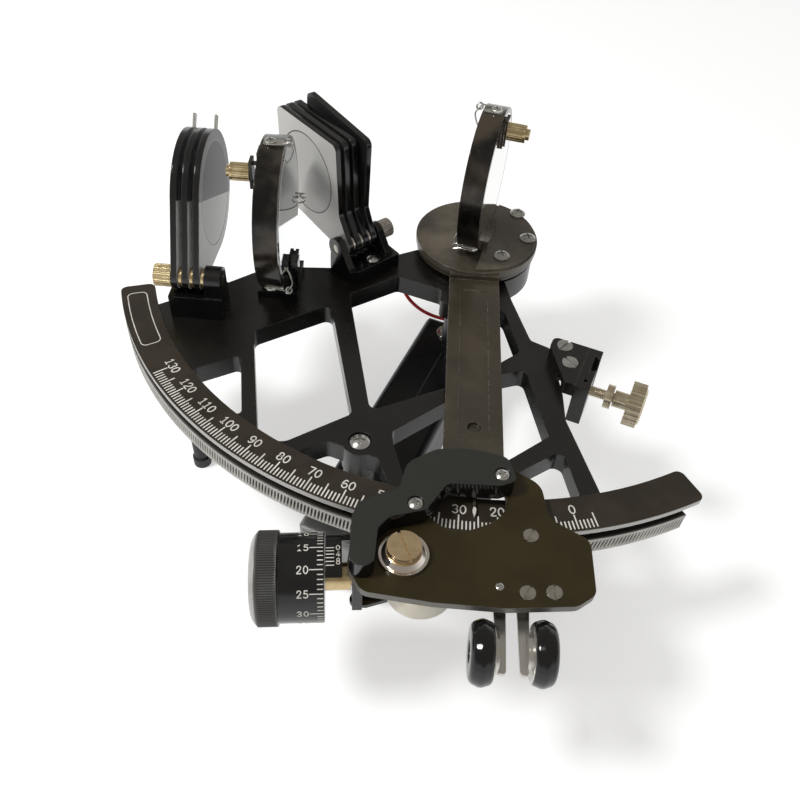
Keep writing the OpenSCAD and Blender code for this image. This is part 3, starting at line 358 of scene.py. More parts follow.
def rack_metal():
    finish = Finish(
        "rack_metal", (176, 174, 168), (160, 158, 152), metallic=0.7, roughness=0.36, patch=9, grain=0.4,
        stretch=(1, 1, 0.2), relief=0.012, rounding=0.12,
    )
    reach = finish.away(UP, PIVOT.translation)
    # Darker in the tooth slots, and darkest and dull on the band's inner part under the limb: painted shade
    finish.over(
        1 - reach.rise(LIMB_OUTER - 0.8, LIMB_OUTER - 0.1), colour=(58, 55, 50), roughness=0.5, metallic=0.5
    )
    return finish.over(1 - reach.rise(163, 164.5), colour=(40, 37, 32), roughness=0.5, metallic=0.0).done()


def scale_paint():
    return Finish(
        "scale_paint", (226, 223, 214), (206, 202, 191), roughness=0.55, patch=5, grain=0.3, relief=0.01,
        rounding=0.05, specular=0.3,
    ).done()


def drum_black():
    finish = Finish(
        "drum_black", (12, 12, 13), (18, 18, 19), roughness=0.17, patch=10, grain=0.35, relief=0.004,
        rounding=0.25, edge=(120, 119, 116), wear=0.6, specular=0.5,
    )
    knurl = finish.along(direction(WORM, (0, 0, 1)), WORM @ Vector((0, 0, 67.0))).rise(0.0, 0.3)
    crest = finish.away(direction(WORM, (0, 0, 1)), WORM.translation).rise(16.28, 16.5)
    finish.over(knurl, colour=(44, 44, 43), roughness=0.36, metallic=0.3)
    return finish.over(knurl * crest, colour=(86, 85, 82), roughness=0.36, metallic=0.45).done()


def bright(name, colour, second=None, **looks):
    """Bare metal with fine working marks."""
    looks = {"roughness": 0.26, "patch": 6, "grain": 0.25, "relief": 0.008, "rounding": 0.2, **looks}
    return Finish(name, colour, second, metallic=0.95, **looks)


def gloss(name, colour, second=None, **looks):
    """Black lacquer or moulded plastic with a shine."""
    looks = {
        "roughness": 0.16, "patch": 12, "grain": 0.5, "relief": 0.005, "rounding": 0.45, "specular": 0.5,
        **looks
    }
    return Finish(name, colour, second, **looks)


def light_guide_black():
    finish = gloss("light_guide_black", (9, 10, 11), (13, 14, 15), roughness=0.12, rounding=0.7, specular=0.6)
    top = finish.facing(UP).rise(0.9, 0.99)
    return finish.over(top, colour=(30, 31, 27), roughness=0.42).done()


def lever_black():
    """Glossy pads on nickel tongues."""
    finish = gloss("lever_black", (7, 7, 8), (10, 10, 11), roughness=0.1, rounding=0.5, specular=0.5)
    across = direction(ARM, (0, 1, 0))
    middle = abs(finish.along(across, ARM @ Vector((200, 13, 0))))
    inner = finish.along(direction(ARM, (1, 0, 0)), ARM @ Vector((196, 13, 0)))
    tongue = ((inner < 0) + (middle < 6.45)).limited()
    return finish.over(tongue, colour=(196, 193, 186), roughness=0.25, metallic=0.9).done()


def mirror_silver(name):
    return Finish(
        name, (232, 234, 236), metallic=1.0, roughness=0.04, spread=0.02, grain=2.0, relief=0.0004,
        rounding=0.3
    ).done()


def rim_black(name, silver_back=None):
    """Glossy black rim with soft brown and grey patches, which are painted reflection; a mirror's place gives
    it a silvered back.
    """
    # The brown second colour gives patches of painted reflection
    finish = Finish(
        name, (14, 13, 12), (74, 66, 56), metallic=0.35, roughness=0.16, patch=24, grain=0.4, relief=0.006,
        rounding=0.5, edge=(150, 146, 138), wear=0.5, specular=0.5,
    )
    if silver_back:
        behind = finish.facing(direction(silver_back, (1, 0, 0))).rise(0.9, 0.98)
        inside = 1 - finish.away(direction(silver_back, (1, 0, 0)), silver_back.translation).rise(29.2, 29.5)
        finish.over(behind * inside, colour=(232, 233, 232), roughness=0.06, metallic=1.0)
    return finish.done()


# Where a glass has its middle on the plane across the pin, and its radius
HORIZON_DISC = (35, 19.3, 22)
INDEX_DISC = (28, 23.8, 18.5)
# The upward way of the dark reflection painted on a horizon shade's upper part, and the middle of its edge
DARK_REFLECTION_UP, DARK_REFLECTION_EDGE_AT = (0, 0.46, 0.89), (0, 33.5, 18.5)


def dark_part(finish, pin):
    """1 on the upper part of a horizon shade, where a dark reflection is painted."""
    upward = direction(pin, DARK_REFLECTION_UP)
    return finish.along(upward, pin @ Vector(DARK_REFLECTION_EDGE_AT)).rise(-0.25, 0.25)


def shade_black(name, pin, glass, colour, dark_reflection_colour=None):
    """A shade's leaf: glossy edges, flat faces with a turned line round the glass, and wire tabs. The faces
    take the given tone, which on the front leaves is a light grey painted reflection of the bright floor, and
    on the horizon shades a painted dark reflection lies over the upper part.
    """
    finish = gloss(name, (8, 8, 9), (13, 13, 14), roughness=0.1, rounding=0.7, specular=0.6)
    axis = direction(pin, (1, 0, 0))
    centre = pin @ Vector((0, *glass[:2]))
    reach = finish.away(axis, centre)
    face = abs(finish.facing(axis)).rise(0.9, 0.98)
    # The faces' tone: on the front leaves a light grey that is a painted reflection of the bright floor
    finish.over(face, colour=colour, roughness=0.36, metallic=0.1)
    if dark_reflection_colour:
        # A painted dark reflection over the upper part
        finish.over(face * dark_part(finish, pin), colour=dark_reflection_colour)
    line = (reach > glass[2] + 0.1) * (reach < glass[2] + 0.7)
    finish.over(face * line, colour=(46, 46, 46), roughness=0.3)
    if dark_reflection_colour:
        outward = direction(pin, (0, *glass[:2]))
        tabs = (reach > 27.1) * (finish.along(outward, centre) > 10)
        finish.over(tabs, colour=(205, 204, 200), roughness=0.24, metallic=0.9)
    return finish.done()


def shade_glass(name, pin, colour, dark_reflection_colour=None):
    finish = gloss(name, (60, 62, 64), (72, 74, 76), roughness=0.16, spread=0.03, relief=0.001, specular=0.5)
    face = abs(finish.facing(direction(pin, (1, 0, 0)))).rise(0.86, 0.97)
    # The glass's faces: a light grey that is a painted reflection of the bright floor, and on the horizon
    # shades a painted dark reflection over the upper part
    finish.over(face, colour=colour, roughness=0.4, metallic=0.1)
    if dark_reflection_colour:
        finish.over(face * dark_part(finish, pin), colour=dark_reflection_colour)
    return finish.done()


def lamp_chrome():
    """A champagne cap on a chromed flange."""
    finish = bright("lamp_chrome", (222, 198, 160), (206, 182, 144), roughness=0.26)
    flange = finish.away(UP, ARM @ Vector((181.6, -24.3, 0))).rise(6.0, 6.3)
    return finish.over(flange, colour=(214, 206, 198), roughness=0.07).done()


def plate_enamel():
    """Enamel on the faces, and round the plate's edge a lighter, half-metallic grey that is a painted
    reflection of the bright floor.
    """
    finish = Finish(
        "plate_enamel", (45, 38, 19), (52, 44, 24), roughness=0.34, patch=20, grain=0.45, relief=0.012,
        rounding=0.3, edge=(150, 146, 138), wear=0.4, specular=0.22,
    )
    # Painted reflection on the sides
    side = 1 - abs(finish.facing(UP)).rise(0.3, 0.6)
    return finish.over(side, colour=(112, 110, 104), roughness=0.36, metallic=0.4).done()


FRAME_ENAMEL = frame_enamel()
LIMB_ENAMEL = limb_enamel()
RACK_METAL = rack_metal()
SCALE_PAINT = scale_paint()
DRUM_BLACK = drum_black()
LIGHT_GUIDE = light_guide_black()
LEVER_BLACK = lever_black()
ARM_ENAMEL = Finish(
    "arm_enamel", (54, 48, 37), (67, 60, 48), roughness=0.26, patch=26, grain=0.45, relief=0.012,
    rounding=0.5, edge=(150, 146, 138), wear=0.45, specular=0.5,
).done()
PLATE_ENAMEL = plate_enamel()
DISC_ENAMEL = Finish(
    "disc_enamel", (66, 60, 50), (95, 87, 74), roughness=0.28, patch=26, grain=0.4, relief=0.01, rounding=0.5,
    edge=(150, 146, 138), wear=0.4, specular=0.5,
).done()
BRASS = bright("bearing_brass", (190, 164, 116), (168, 142, 98)).done()
WORM_BRASS = bright("worm_brass", (204, 184, 142), (180, 158, 118)).done()
FOOT_BLACK = Finish(
    "foot_black", (24, 24, 25), (31, 31, 31), roughness=0.55, patch=7, grain=0.5, relief=0.02,
    edge=(70, 70, 70), wear=0.4
).done()
HANDLE_BLACK = Finish(
    "handle_black", (8, 9, 10), (12, 13, 14), roughness=0.3, patch=18, grain=0.55, relief=0.015, rounding=0.9,
    edge=(60, 60, 64), wear=0.3, specular=0.3,
).done()
HANDLE_GREY = Finish(
    "handle_grey", (148, 148, 146), (136, 136, 134), metallic=0.3, roughness=0.4, patch=12, grain=0.4,
    relief=0.012, rounding=0.8, edge=(186, 186, 184), wear=0.5,
).done()
POST_BLACK = Finish(
    "post_black", (14, 14, 15), (20, 20, 21), metallic=0.1, roughness=0.3, patch=6, grain=0.3, relief=0.012,
    edge=(120, 120, 118), wear=0.5,
).done()
SCREW_STEEL = bright("screw_steel", (198, 197, 193), (172, 171, 167), roughness=0.24).done()
CHROME = bright("chrome", (222, 221, 218), (206, 205, 202), roughness=0.14).done()
CELL_JACKET = Finish("cell_jacket", (72, 96, 112), (62, 84, 98), roughness=0.35).done()
WIRE_RED = Finish(
    "wire_red", (216, 36, 34), (196, 28, 28), roughness=0.38, spread=0.1, patch=5, grain=0.4, relief=0.01,
    rounding=0.1
).done()
BLACK_GLOSS = gloss(
    "black_gloss", (10, 10, 11), (15, 15, 15), roughness=0.16, edge=(90, 88, 84), wear=0.35
).done()
KNOB_BRASS = bright("knob_brass", (208, 190, 150), (184, 164, 124), roughness=0.22).done()
PIN_NICKEL = bright("pin_nickel", (192, 186, 176), (168, 162, 152)).done()
HORIZON_RIM = rim_black("horizon_rim_black")
INDEX_RIM = rim_black("index_rim_black", silver_back=INDEX_MIRROR)
CLIP_STEEL = bright("clip_steel", (206, 205, 200), (180, 178, 172), roughness=0.22).done()
SLOT_NICKEL = bright("slot_nickel", (176, 170, 160), (150, 144, 135), roughness=0.3).done()
LAMP_CHROME = lamp_chrome()
# The lamp housing's cream white is a painted reflection of the bright floor
HOUSING_PAINTED_REFLECTION = Finish(
    "housing_cream", (226, 219, 200), (214, 206, 186), roughness=0.36, patch=8, grain=0.5, relief=0.01
).done()
SHAFT_STEEL = bright("shaft_steel", (170, 169, 166), (150, 149, 146), roughness=0.3).done()
CARRIER_BLACK = Finish(
    "carrier_black", (10, 10, 10), (16, 15, 14), roughness=0.24, patch=10, grain=0.4, relief=0.012,
    edge=(120, 114, 104), wear=0.45, specular=0.4,
).done()
CLAMP_NICKEL = bright("clamp_nickel", (206, 196, 172), (182, 170, 144), roughness=0.24).done()
BUTTON_STEEL = bright("button_steel", (216, 215, 212), (196, 195, 192), roughness=0.2).done()
MIRROR_SILVER = mirror_silver("mirror_silver")
# The light face and glass tones of the front leaves are painted reflection of the bright floor, and the dark
# upper part of the horizon ones is painted dark reflection; the index leaves behind keep dark faces
HORIZON_SHADE = shade_black(
    "horizon_shade_black", HORIZON_PIN, HORIZON_DISC, (210, 210, 207), dark_reflection_colour=(58, 59, 60)
)
INDEX_SHADE = shade_black("index_shade_black", INDEX_PIN, INDEX_DISC, (206, 204, 199))
INNER_SHADE = shade_black("inner_shade_black", INDEX_PIN, INDEX_DISC, (26, 28, 26))
LAST_INDEX_SHADE = shade_black("last_index_shade_black", INDEX_PIN @ turn(5.8, "X"), INDEX_DISC, (26, 28, 26))
HORIZON_GLASS = shade_glass("horizon_shade_glass", HORIZON_PIN, (226, 227, 225), dark_reflection_colour=(36, 37, 39))
INDEX_GLASS = shade_glass("index_shade_glass", INDEX_PIN, (198, 197, 193))
# Dark bars on the clip screws' heads: painted shade of their slots
SLOT_SHADE = Finish("painted_slot_shade", (22, 22, 22), (30, 30, 30), roughness=0.6, patch=2).done()

NODE_FINISHES = {
    "frame_casting": FRAME_ENAMEL, "telescope_base": FRAME_ENAMEL, "telescope_rail": FRAME_ENAMEL,
    "limb_arc": LIMB_ENAMEL, "limb_rack": RACK_METAL, "pivot_bush": BRASS, "feet": FOOT_BLACK,
    "handle_left": HANDLE_BLACK, "handle_right": HANDLE_BLACK, "handle_end": HANDLE_GREY,
    "handle_posts": POST_BLACK, "frame_screws": SCREW_STEEL, "telescope_screws": SCREW_STEEL,
    "arm_screws": SCREW_STEEL, "switch_bezel": CHROME, "battery_pack": CELL_JACKET,
    "horizon_shade_bracket": BLACK_GLOSS, "index_shade_bracket": BLACK_GLOSS,
    "horizon_mirror_base": BLACK_GLOSS, "horizon_shade_pin": KNOB_BRASS, "horizon_adjuster": KNOB_BRASS,
    "index_adjuster": KNOB_BRASS, "index_shade_pin": PIN_NICKEL, "horizon_mirror_frame": HORIZON_RIM,
    "index_mirror_frame": INDEX_RIM, "horizon_mirror_glass": MIRROR_SILVER,
    "index_mirror_glass": MIRROR_SILVER, "index_arm": ARM_ENAMEL, "index_plate": PLATE_ENAMEL,
    "index_mirror_base": DISC_ENAMEL, "plate_screws": SLOT_NICKEL, "light_guide": LIGHT_GUIDE,
    "lamp_cap": LAMP_CHROME, "lamp_housing": HOUSING_PAINTED_REFLECTION, "pivot_shaft": SHAFT_STEEL,
    "worm_carrier": CARRIER_BLACK, "worm_shaft": WORM_BRASS, "lever_left": LEVER_BLACK,
    "lever_right": LEVER_BLACK, "clamp_collar": CLAMP_NICKEL, "clamp_screw": CLAMP_NICKEL,
    "lamp_button": BUTTON_STEEL, "wire": WIRE_RED, "micrometer_drum": DRUM_BLACK,
    "horizon_mirror_clips": CLIP_STEEL, "index_mirror_clips": CLIP_STEEL,
}
for i in (1, 2, 3):
    NODE_FINISHES["horizon_shade_%d" % i] = HORIZON_SHADE
    NODE_FINISHES["horizon_glass_%d" % i] = HORIZON_GLASS
for i in (1, 2, 3, 4):
    # Only the front leaf gets the light face of painted reflection
    NODE_FINISHES["index_shade_%d" % i] = {1: INDEX_SHADE, 4: LAST_INDEX_SHADE}.get(i, INNER_SHADE)
    NODE_FINISHES["index_glass_%d" % i] = INDEX_GLASS
for node, material in NODE_FINISHES.items():
    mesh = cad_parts[node].data
    mesh.materials.clear()
    mesh.materials.append(material)
wire_curve.materials.append(WIRE_RED)


# Forms


class Form:
    """A mesh in the making, in millimetres of the whole part."""

    def __init__(self):
        self.mesh = bmesh.new()

    def skin(self, rows, around=True, along=False, ends=True):
        """Faces between rows of points, with each row closed, the rows in a ring, or the end rows filled."""
        rows = [[self.mesh.verts.new(point) for point in row] for row in rows]
        count = len(rows[0])
        pairs = list(zip(rows, rows[1:])) + ([(rows[-1], rows[0])] if along else [])
        for low, high in pairs:
            for i in range(count if around else count - 1):
                j = (i + 1) % count
                self.mesh.faces.new((low[i], low[j], high[j], high[i]))
        if ends and not along:
            self.mesh.faces.new(rows[0][::-1])
            self.mesh.faces.new(rows[-1])
        return self

    def lathe(self, profile, place, sides=64, relief=None):
        """A turned solid from radii and heights along the frame's Z."""
        rows = []
        for radius, height in profile:
            row = []
            for k in range(sides):
                degrees = 360 * k / sides
                depth = relief(degrees, height) if relief else 0
                row.append(place @ polar(radius - depth, degrees, height))
            rows.append(row)
        return self.skin(rows)

    def prism(self, outline, low, high, place):
        return self.skin([[place @ Vector((x, y, z)) for x, y in outline] for z in (low, high)])

    def rod(self, path, radius, sides=10):
        """A round rod along a line of points of the whole part."""
        rows = []
        side = Vector((0.31, 0.53, 0.79))
        for i, point in enumerate(path):
            ahead = (path[min(i + 1, len(path) - 1)] - path[max(i - 1, 0)]).normalized()
            side = (side - ahead * side.dot(ahead)).normalized()
            other = ahead.cross(side)
            rows.append(
                [point + (side * math.cos(a) + other * math.sin(a)) * radius
                 for a in (2 * math.pi * k / sides for k in range(sides))]
            )
        return self.skin(rows)

    def stroke(self, line, width, on, closed=False, lift=0.045):
        """A painted line of one width, laid on a surface by `on`, which takes across, upward and height."""
        line = [Vector((p[0], p[1])) for p in line]
        count = len(line)
        rows = []
        for i, point in enumerate(line):
            before = line[i - 1] if i or closed else None
            after = line[(i + 1) % count] if i + 1 < count or closed else None
            runs = [
                (b - a).normalized()
                for a, b in ((before, point), (point, after)) if a is not None and b is not None
            ]
            ahead = sum(runs, Vector((0, 0))).normalized()
            reach = width / 2 / max(0.6, abs(ahead.dot(runs[0])))
            side = Vector((-ahead.y, ahead.x)) * reach
            rows.append([point + side, point - side])
        if not closed:
            first, last = (line[0] - line[1]).normalized(), (line[-1] - line[-2]).normalized()
            rows.insert(0, [point * 0.55 + line[0] * 0.45 + first * width * 0.45 for point in rows[0]])
            rows.append([point * 0.55 + line[-1] * 0.45 + last * width * 0.45 for point in rows[-1]])
        return self.skin(
            [[on(*a, 0.0), on(*a, lift), on(*b, lift), on(*b, 0.0)] for a, b in rows],
            along=closed, ends=not closed,
        )

    def write(self, text, height, width, on, advance=0.82):
        """Numbers in strokes, centred, a share of their height apart."""
        advance = advance * height
        start = -advance * (len(text) - 1) / 2
        for k, digit in enumerate(text):
            for closed, smooth, points in DIGITS[digit]:
                line = through([(x, y, 0) for x, y in points], 4, closed) if smooth else points
                line = [(start + k * advance + (p[0] - 0.3) * height, (p[1] - 0.5) * height) for p in line]
                self.stroke(line, width, on, closed and smooth)
        return self

    def piece(self, name, body, material, stands_for=(), sharp=32):
        """The finished mesh as a piece that rides on a body."""
        bmesh.ops.recalc_face_normals(self.mesh, faces=self.mesh.faces)
        self.mesh.transform(Matrix.Scale(MM, 4))
        mesh = bpy.data.meshes.new(name)
        self.mesh.to_mesh(mesh)
        self.mesh.free()
        mesh.materials.append(material)
        mesh.shade_smooth()
        mesh.set_sharp_from_angle(angle=math.radians(sharp))
        made = bpy.data.objects.new(name, mesh)
        bpy.context.collection.objects.link(made)
        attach(made, body)
        if stands_for:
            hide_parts(*stands_for)
        return made


# Strokes of each digit in a box 0.6 wide and 1 high: closed or not, curved or straight, and the points
SIX = [(0.5, 0.92), (0.34, 1.0), (0.14, 0.84), (0.04, 0.5), (0.06, 0.2), (0.22, 0.01), (0.42, 0.02),
       (0.57, 0.2), (0.55, 0.43), (0.4, 0.57), (0.2, 0.53), (0.06, 0.36)]
DIGITS = {
    "0": [(True, True, [(0.3, 1), (0.08, 0.82), (0.02, 0.5), (0.08, 0.18), (0.3, 0), (0.52, 0.18),
                        (0.58, 0.5), (0.52, 0.82)])],
    "1": [(False, False, [(0.12, 0.8), (0.32, 1), (0.32, 0.04)]), (False, False, [(0.12, 0), (0.52, 0)])],
    "2": [(False, True, [(0.04, 0.74), (0.11, 0.93), (0.3, 1), (0.5, 0.92), (0.55, 0.72),
                         (0.42, 0.47), (0.2, 0.23), (0.03, 0.02)]), (False, False, [(0.05, 0), (0.57, 0)])],
    "3": [(False, True, [(0.05, 0.86), (0.26, 1), (0.5, 0.9), (0.52, 0.68), (0.38, 0.55), (0.22, 0.53)]),
          (False, True, [(0.22, 0.53), (0.46, 0.46), (0.57, 0.27), (0.48, 0.07), (0.27, 0), (0.04, 0.14)])],
    "4": [(False, False, [(0.44, 0), (0.44, 1), (0.02, 0.3), (0.6, 0.3)])],
    "5": [(False, False, [(0.53, 1), (0.13, 1), (0.08, 0.56)]),
          (False, True, [(0.08, 0.56), (0.3, 0.64), (0.52, 0.5), (0.57, 0.3), (0.47, 0.08), (0.25, 0),
                         (0.03, 0.12)])],
    "6": [(False, True, SIX)],
    "7": [(False, False, [(0.03, 1), (0.57, 1), (0.22, 0)])],
    "8": [(True, True, [(0.3, 1), (0.1, 0.9), (0.1, 0.65), (0.3, 0.53), (0.5, 0.65), (0.5, 0.9)]),
          (True, True, [(0.3, 0.53), (0.06, 0.4), (0.06, 0.12), (0.3, 0), (0.54, 0.12), (0.54, 0.4)])],
    "9": [(False, True, [(0.6 - x, 1 - y) for x, y in SIX])],
}


# Limb: graduations, numbers, badge outline


def on_limb(radius, degrees):
    """A flat spot of the limb's face, whose upward way is towards the pivot."""
    out = polar(1, degrees)
    side = polar(1, degrees + 90)
    return lambda x, y, lift: PIVOT @ (out * (radius - y) + side * x + Vector((0, 0, lift - 0.01)))


# Radii of the ticks' outer ends, of the inner ends of a long and a short one, and of the numbers' middles
TICK_END, LONG_TICK, SHORT_TICK, NUMBER_RADIUS = 166.3, 160.0, 162.5, 157.7

ticks = Form()
for degree in range(-5, 131):
    inner = LONG_TICK if degree % 5 == 0 else SHORT_TICK
    centre = (inner + TICK_END) / 2
    half = (TICK_END - inner) / 2 - 0.25
    ticks.stroke([(0, -half), (0, half)], 0.55, on_limb(centre, scale_angle(degree)))
ticks.piece("limb_graduations", "frame", SCALE_PAINT)

numbers = Form()
for degree in range(0, 131, 10):
    numbers.write(str(degree), 3.5, 0.52, on_limb(NUMBER_RADIUS, scale_angle(degree)))
numbers.piece("limb_numbers", "frame", SCALE_PAINT)


def badge_line():
    """A rounded rectangle bent round the pivot, as degrees and radii."""
    inner, outer, first, last, corner = 156.3, 164.6, -141.0, -128.5, 2.2
    degree_corner = math.degrees(corner / 160)
    line = []
    for centre_degree, centre_radius, start in (
        (last - degree_corner, inner + corner, 270), (last - degree_corner, outer - corner, 0),
        (first + degree_corner, outer - corner, 90), (first + degree_corner, inner + corner, 180),
    ):
        for step in range(5):
            angle = math.radians(start + step * 22.5)
            line.append(
                (centre_degree + math.cos(angle) * degree_corner, centre_radius + math.sin(angle) * corner)
            )
    dense = []
    for a, b in zip(line, line[1:] + line[:1]):
        for step in range(4):
            dense.append((a[0] + (b[0] - a[0]) * step / 4, a[1] + (b[1] - a[1]) * step / 4))
    return dense


badge = Form()
badge.stroke(
    [polar(radius, degree)[:2] for degree, radius in badge_line()], 0.4,
    lambda x, y, lift: PIVOT @ Vector((x, y, lift - 0.01)), closed=True,
)
badge.piece("limb_badge_outline", "frame", SCALE_PAINT)


# Rack: hobbed, slanted teeth

RACK_LOW, RACK_HIGH, RACK_INNER, RACK_OUTER = -14.5, -6.5, 160.4, 167.4
TOOTH_STEP = 0.5
TOOTH_DEPTH = 0.9
RACK_FIRST, RACK_LAST = -140.5, -42.0
WORM_HEIGHT, TOOTH_REACH = -11.0, 3.4

rack = Form()
columns = []
tooth_count = round((RACK_LAST - RACK_FIRST) / TOOTH_STEP)
for tooth in range(tooth_count):
    for share, cut in ((0.0, 0.0), (0.22, 0.0), (0.42, 1.0), (0.6, 1.0), (0.8, 0.0)):
        columns.append((RACK_FIRST + (tooth + share) * TOOTH_STEP, cut))
columns.append((RACK_LAST, 0.0))
offsets = (-3.35, -3.0, -2.4, -1.6, -0.6, 0.6, 1.6, 2.4, 3.0, 3.35)
heights = [RACK_LOW, *(WORM_HEIGHT + offset for offset in offsets), RACK_HIGH]
rows = []
for degrees, cut in columns:
    row = [PIVOT @ polar(RACK_INNER, degrees, RACK_LOW)]
    for height in heights:
        off = height - WORM_HEIGHT
        depth = TOOTH_DEPTH * cut * max(0.0, 1 - (off / TOOTH_REACH) ** 2)
        slant = math.degrees(math.tan(math.radians(7)) * off / RACK_OUTER)
        at_end = degrees in (RACK_FIRST, RACK_LAST)
        row.append(PIVOT @ polar(RACK_OUTER - depth, degrees + (0 if at_end else slant), height))
    row.append(PIVOT @ polar(RACK_INNER, degrees, RACK_HIGH))
    rows.append(row)
rack.skin(rows)
rack.piece("toothed_rack", "frame", RACK_METAL, ("limb_rack",), sharp=28)


# Micrometer drum

BARREL_RADIUS, KNURL_RADIUS = 15.5, 16.5
BARREL_START, KNURL_START, KNURL_END = 51.4, 66.9, 74.5
KNURL_LINES = 120


def knurl(degrees, height):
    if not KNURL_START + 0.6 < height < KNURL_END - 0.4:
        return 0.0
    return 0.12 * (1 - math.cos(math.radians(degrees * KNURL_LINES)))


drum = Form()
drum.lathe(
    [(9, BARREL_START + 0.3), (14.6, BARREL_START), (15.2, BARREL_START), (15.42, BARREL_START + 0.12),
     (BARREL_RADIUS, BARREL_START + 0.4), (BARREL_RADIUS, 56), (BARREL_RADIUS, 61),
     (BARREL_RADIUS, KNURL_START - 0.15),
     (15.7, KNURL_START), (16.3, KNURL_START + 0.15), (KNURL_RADIUS, KNURL_START + 0.45)]
    + [(KNURL_RADIUS, KNURL_START + 0.7 + 0.85 * k) for k in range(8)]
    + [(KNURL_RADIUS, KNURL_END - 0.35), (16.2, KNURL_END - 0.05), (15.7, KNURL_END), (9, KNURL_END)],
    WORM, sides=480, relief=knurl,
)
drum.piece("drum_barrel", "drum", DRUM_BLACK, ("micrometer_drum",))

drum_end = Form()
drum_end.lathe(
    [(9, KNURL_END - 0.1), (15.75, KNURL_END - 0.1), (15.8, KNURL_END + 0.3), (15.1, KNURL_END + 0.95),
     (14.2, KNURL_END + 1.5), (13.0, KNURL_END + 2.0), (11.4, KNURL_END + 2.3), (9, KNURL_END + 2.4),
     (4, KNURL_END + 2.4), (3.7, KNURL_END + 2.0), (0.4, KNURL_END + 2.0)],
    WORM, sides=96,
)
DRUM_END = Finish(
    "drum_end_grey", (168, 167, 164), (150, 149, 146), metallic=0.55, roughness=0.34, patch=6, grain=0.3,
    relief=0.01
).done()
drum_end.piece("drum_end", "drum", DRUM_END)


def on_barrel(degrees, height, radius=BARREL_RADIUS):
    """A spot of a round barrel, whose text runs towards the worm and stands up round the barrel."""
    return lambda x, y, lift: WORM @ polar(
        radius + lift - 0.01, degrees + math.degrees(y / radius), height - x
    )


drum_marks = Form()
for minute in range(60):
    degrees = 67.6 - (minute - 20) * 6
    high = 56.2 if minute % 5 == 0 else 53.6
    low = BARREL_START + 0.45
    drum_marks.stroke([(0, 0), (high - low, 0)], 0.36, on_barrel(degrees, high))
    if minute % 5 == 0:
        drum_marks.write(str(minute), 2.45, 0.38, on_barrel(degrees, 58.6), advance=0.92)
drum_marks.piece("drum_graduations", "drum", SCALE_PAINT)

SLEEVE_RADIUS = 14.7
vernier = Form()
for step in (0, 2, 4, 6, 8, 10):
    degrees = 99.3 - 2.6 * step
    vernier.stroke([(0, 0), (2.6, 0)], 0.34, on_barrel(degrees, 50.7, SLEEVE_RADIUS))
for step, digit in ((0, "0"), (4, "4"), (8, "8")):
    vernier.write(digit, 2.0, 0.3, on_barrel(99.3 - 2.6 * step, 46.7, SLEEVE_RADIUS))
vernier.piece("vernier_graduations", "carrier", SCALE_PAINT)


# Index pointer in the window

stem = Form()
stem.prism([(142.0, -0.6), (157.6, -0.5), (157.6, 0.4), (142.0, 0.5)], 0.4, 1.3, ARM)
stem.piece("index_stem", "arm", ARM_ENAMEL)
pointer = Form()
pointer.prism(
    [(157.0, -0.45), (158.2, -0.75), (159.6, -0.55), (161.2, -0.05), (159.6, 0.45), (158.2, 0.65),
    (157.0, 0.35)],
    0.45, 1.35, ARM,
)
pointer.piece("index_pointer", "arm", SCALE_PAINT)


# Mirror clips: screw, plate and wire spring


MIRROR_RIM = 31.8
GLASS_FACE = -5.3


def mirror_clips(name, mirror, body, angles):
    clips = Form()
    slot_shades = Form()
    for angle in angles:
        place = mirror @ turn(angle - 90, "X")
        clips.prism(
            [(-4.6, -1.5), (-3.8, -2.2), (2.9, -2.2), (3.6, -1.5),
             (3.6, 1.5), (2.9, 2.2), (-3.8, 2.2), (-4.6, 1.5)],
            MIRROR_RIM - 0.02, MIRROR_RIM + 0.55, place,
        )
        seat = place @ move(0.9, 0, MIRROR_RIM + 0.55)
        clips.lathe(
            [(2.35, 0), (2.4, 0.5), (2.2, 0.95), (1.7, 1.25), (0.9, 1.38), (0.1, 1.4)], seat, sides=28
        )
        # Two dark crossed bars on the screw head, a painted shade that stands for its cross slot
        for quarter in (20, 110):
            slot_shades.prism(
                [(-1.25, -0.2), (1.25, -0.2), (1.25, 0.2), (-1.25, 0.2)], 1.0, 1.42, seat @ turn(quarter, "Z")
            )
        rise = MIRROR_RIM + 0.8
        line = [(1.4, 2.7, rise + 0.1), (-1.6, 2.65, rise + 0.1), (-4.4, 2.2, rise + 0.3)]
        for k in range(13):
            around = math.radians(60 + 36 * k)
            line.append((-6.7 - 1.3 * math.cos(around), 1.9 - 0.19 * k, rise + 1.3 * math.sin(around)))
        line += [(-8.0, -0.6, rise - 2.2), (-7.6, -0.6, rise - 5.0), (-6.6, -0.6, rise - 7.4),
                 (GLASS_FACE - 0.4, -0.6, rise - 8.6), (GLASS_FACE - 0.6, -0.6, rise - 9.6)]
        clips.rod([place @ point for point in through(line, 3)], 0.38, sides=8)
    clips.piece(name, body, CLIP_STEEL, (name.replace("springs", "clips"),))
    slot_shades.piece(name.replace("springs", "slot_shades"), body, SLOT_SHADE)


mirror_clips("horizon_mirror_springs", HORIZON_MIRROR, "frame", (92, -50, -158))
mirror_clips("index_mirror_springs", INDEX_MIRROR, "arm", (88, -122, -18))


# Clamp thread

clamp_thread = Form()
clamp_thread.rod(
    [CLAMP_SCREW @ polar(1.93, 30 * k, 0.4 + 0.8 * k / 12) for k in range(12 * 7 + 6)], 0.27, sides=6
)
clamp_thread.piece("clamp_thread", "clamp_knob", CLAMP_NICKEL, sharp=80)


# Floor, world and lamps

FLOOR_HALF, FLOOR_GAP = 4.0, 0.0002
floor_mesh = bpy.data.meshes.new("floor")
half = FLOOR_HALF
low = cad_box[0].z - FLOOR_GAP
floor_mesh.from_pydata(
    [(-half, -half, low), (half, -half, low), (half, half, low), (-half, half, low)], [], [(0, 1, 2, 3)]
)
floor = bpy.data.objects.new("floor", floor_mesh)
bpy.context.collection.objects.link(floor)


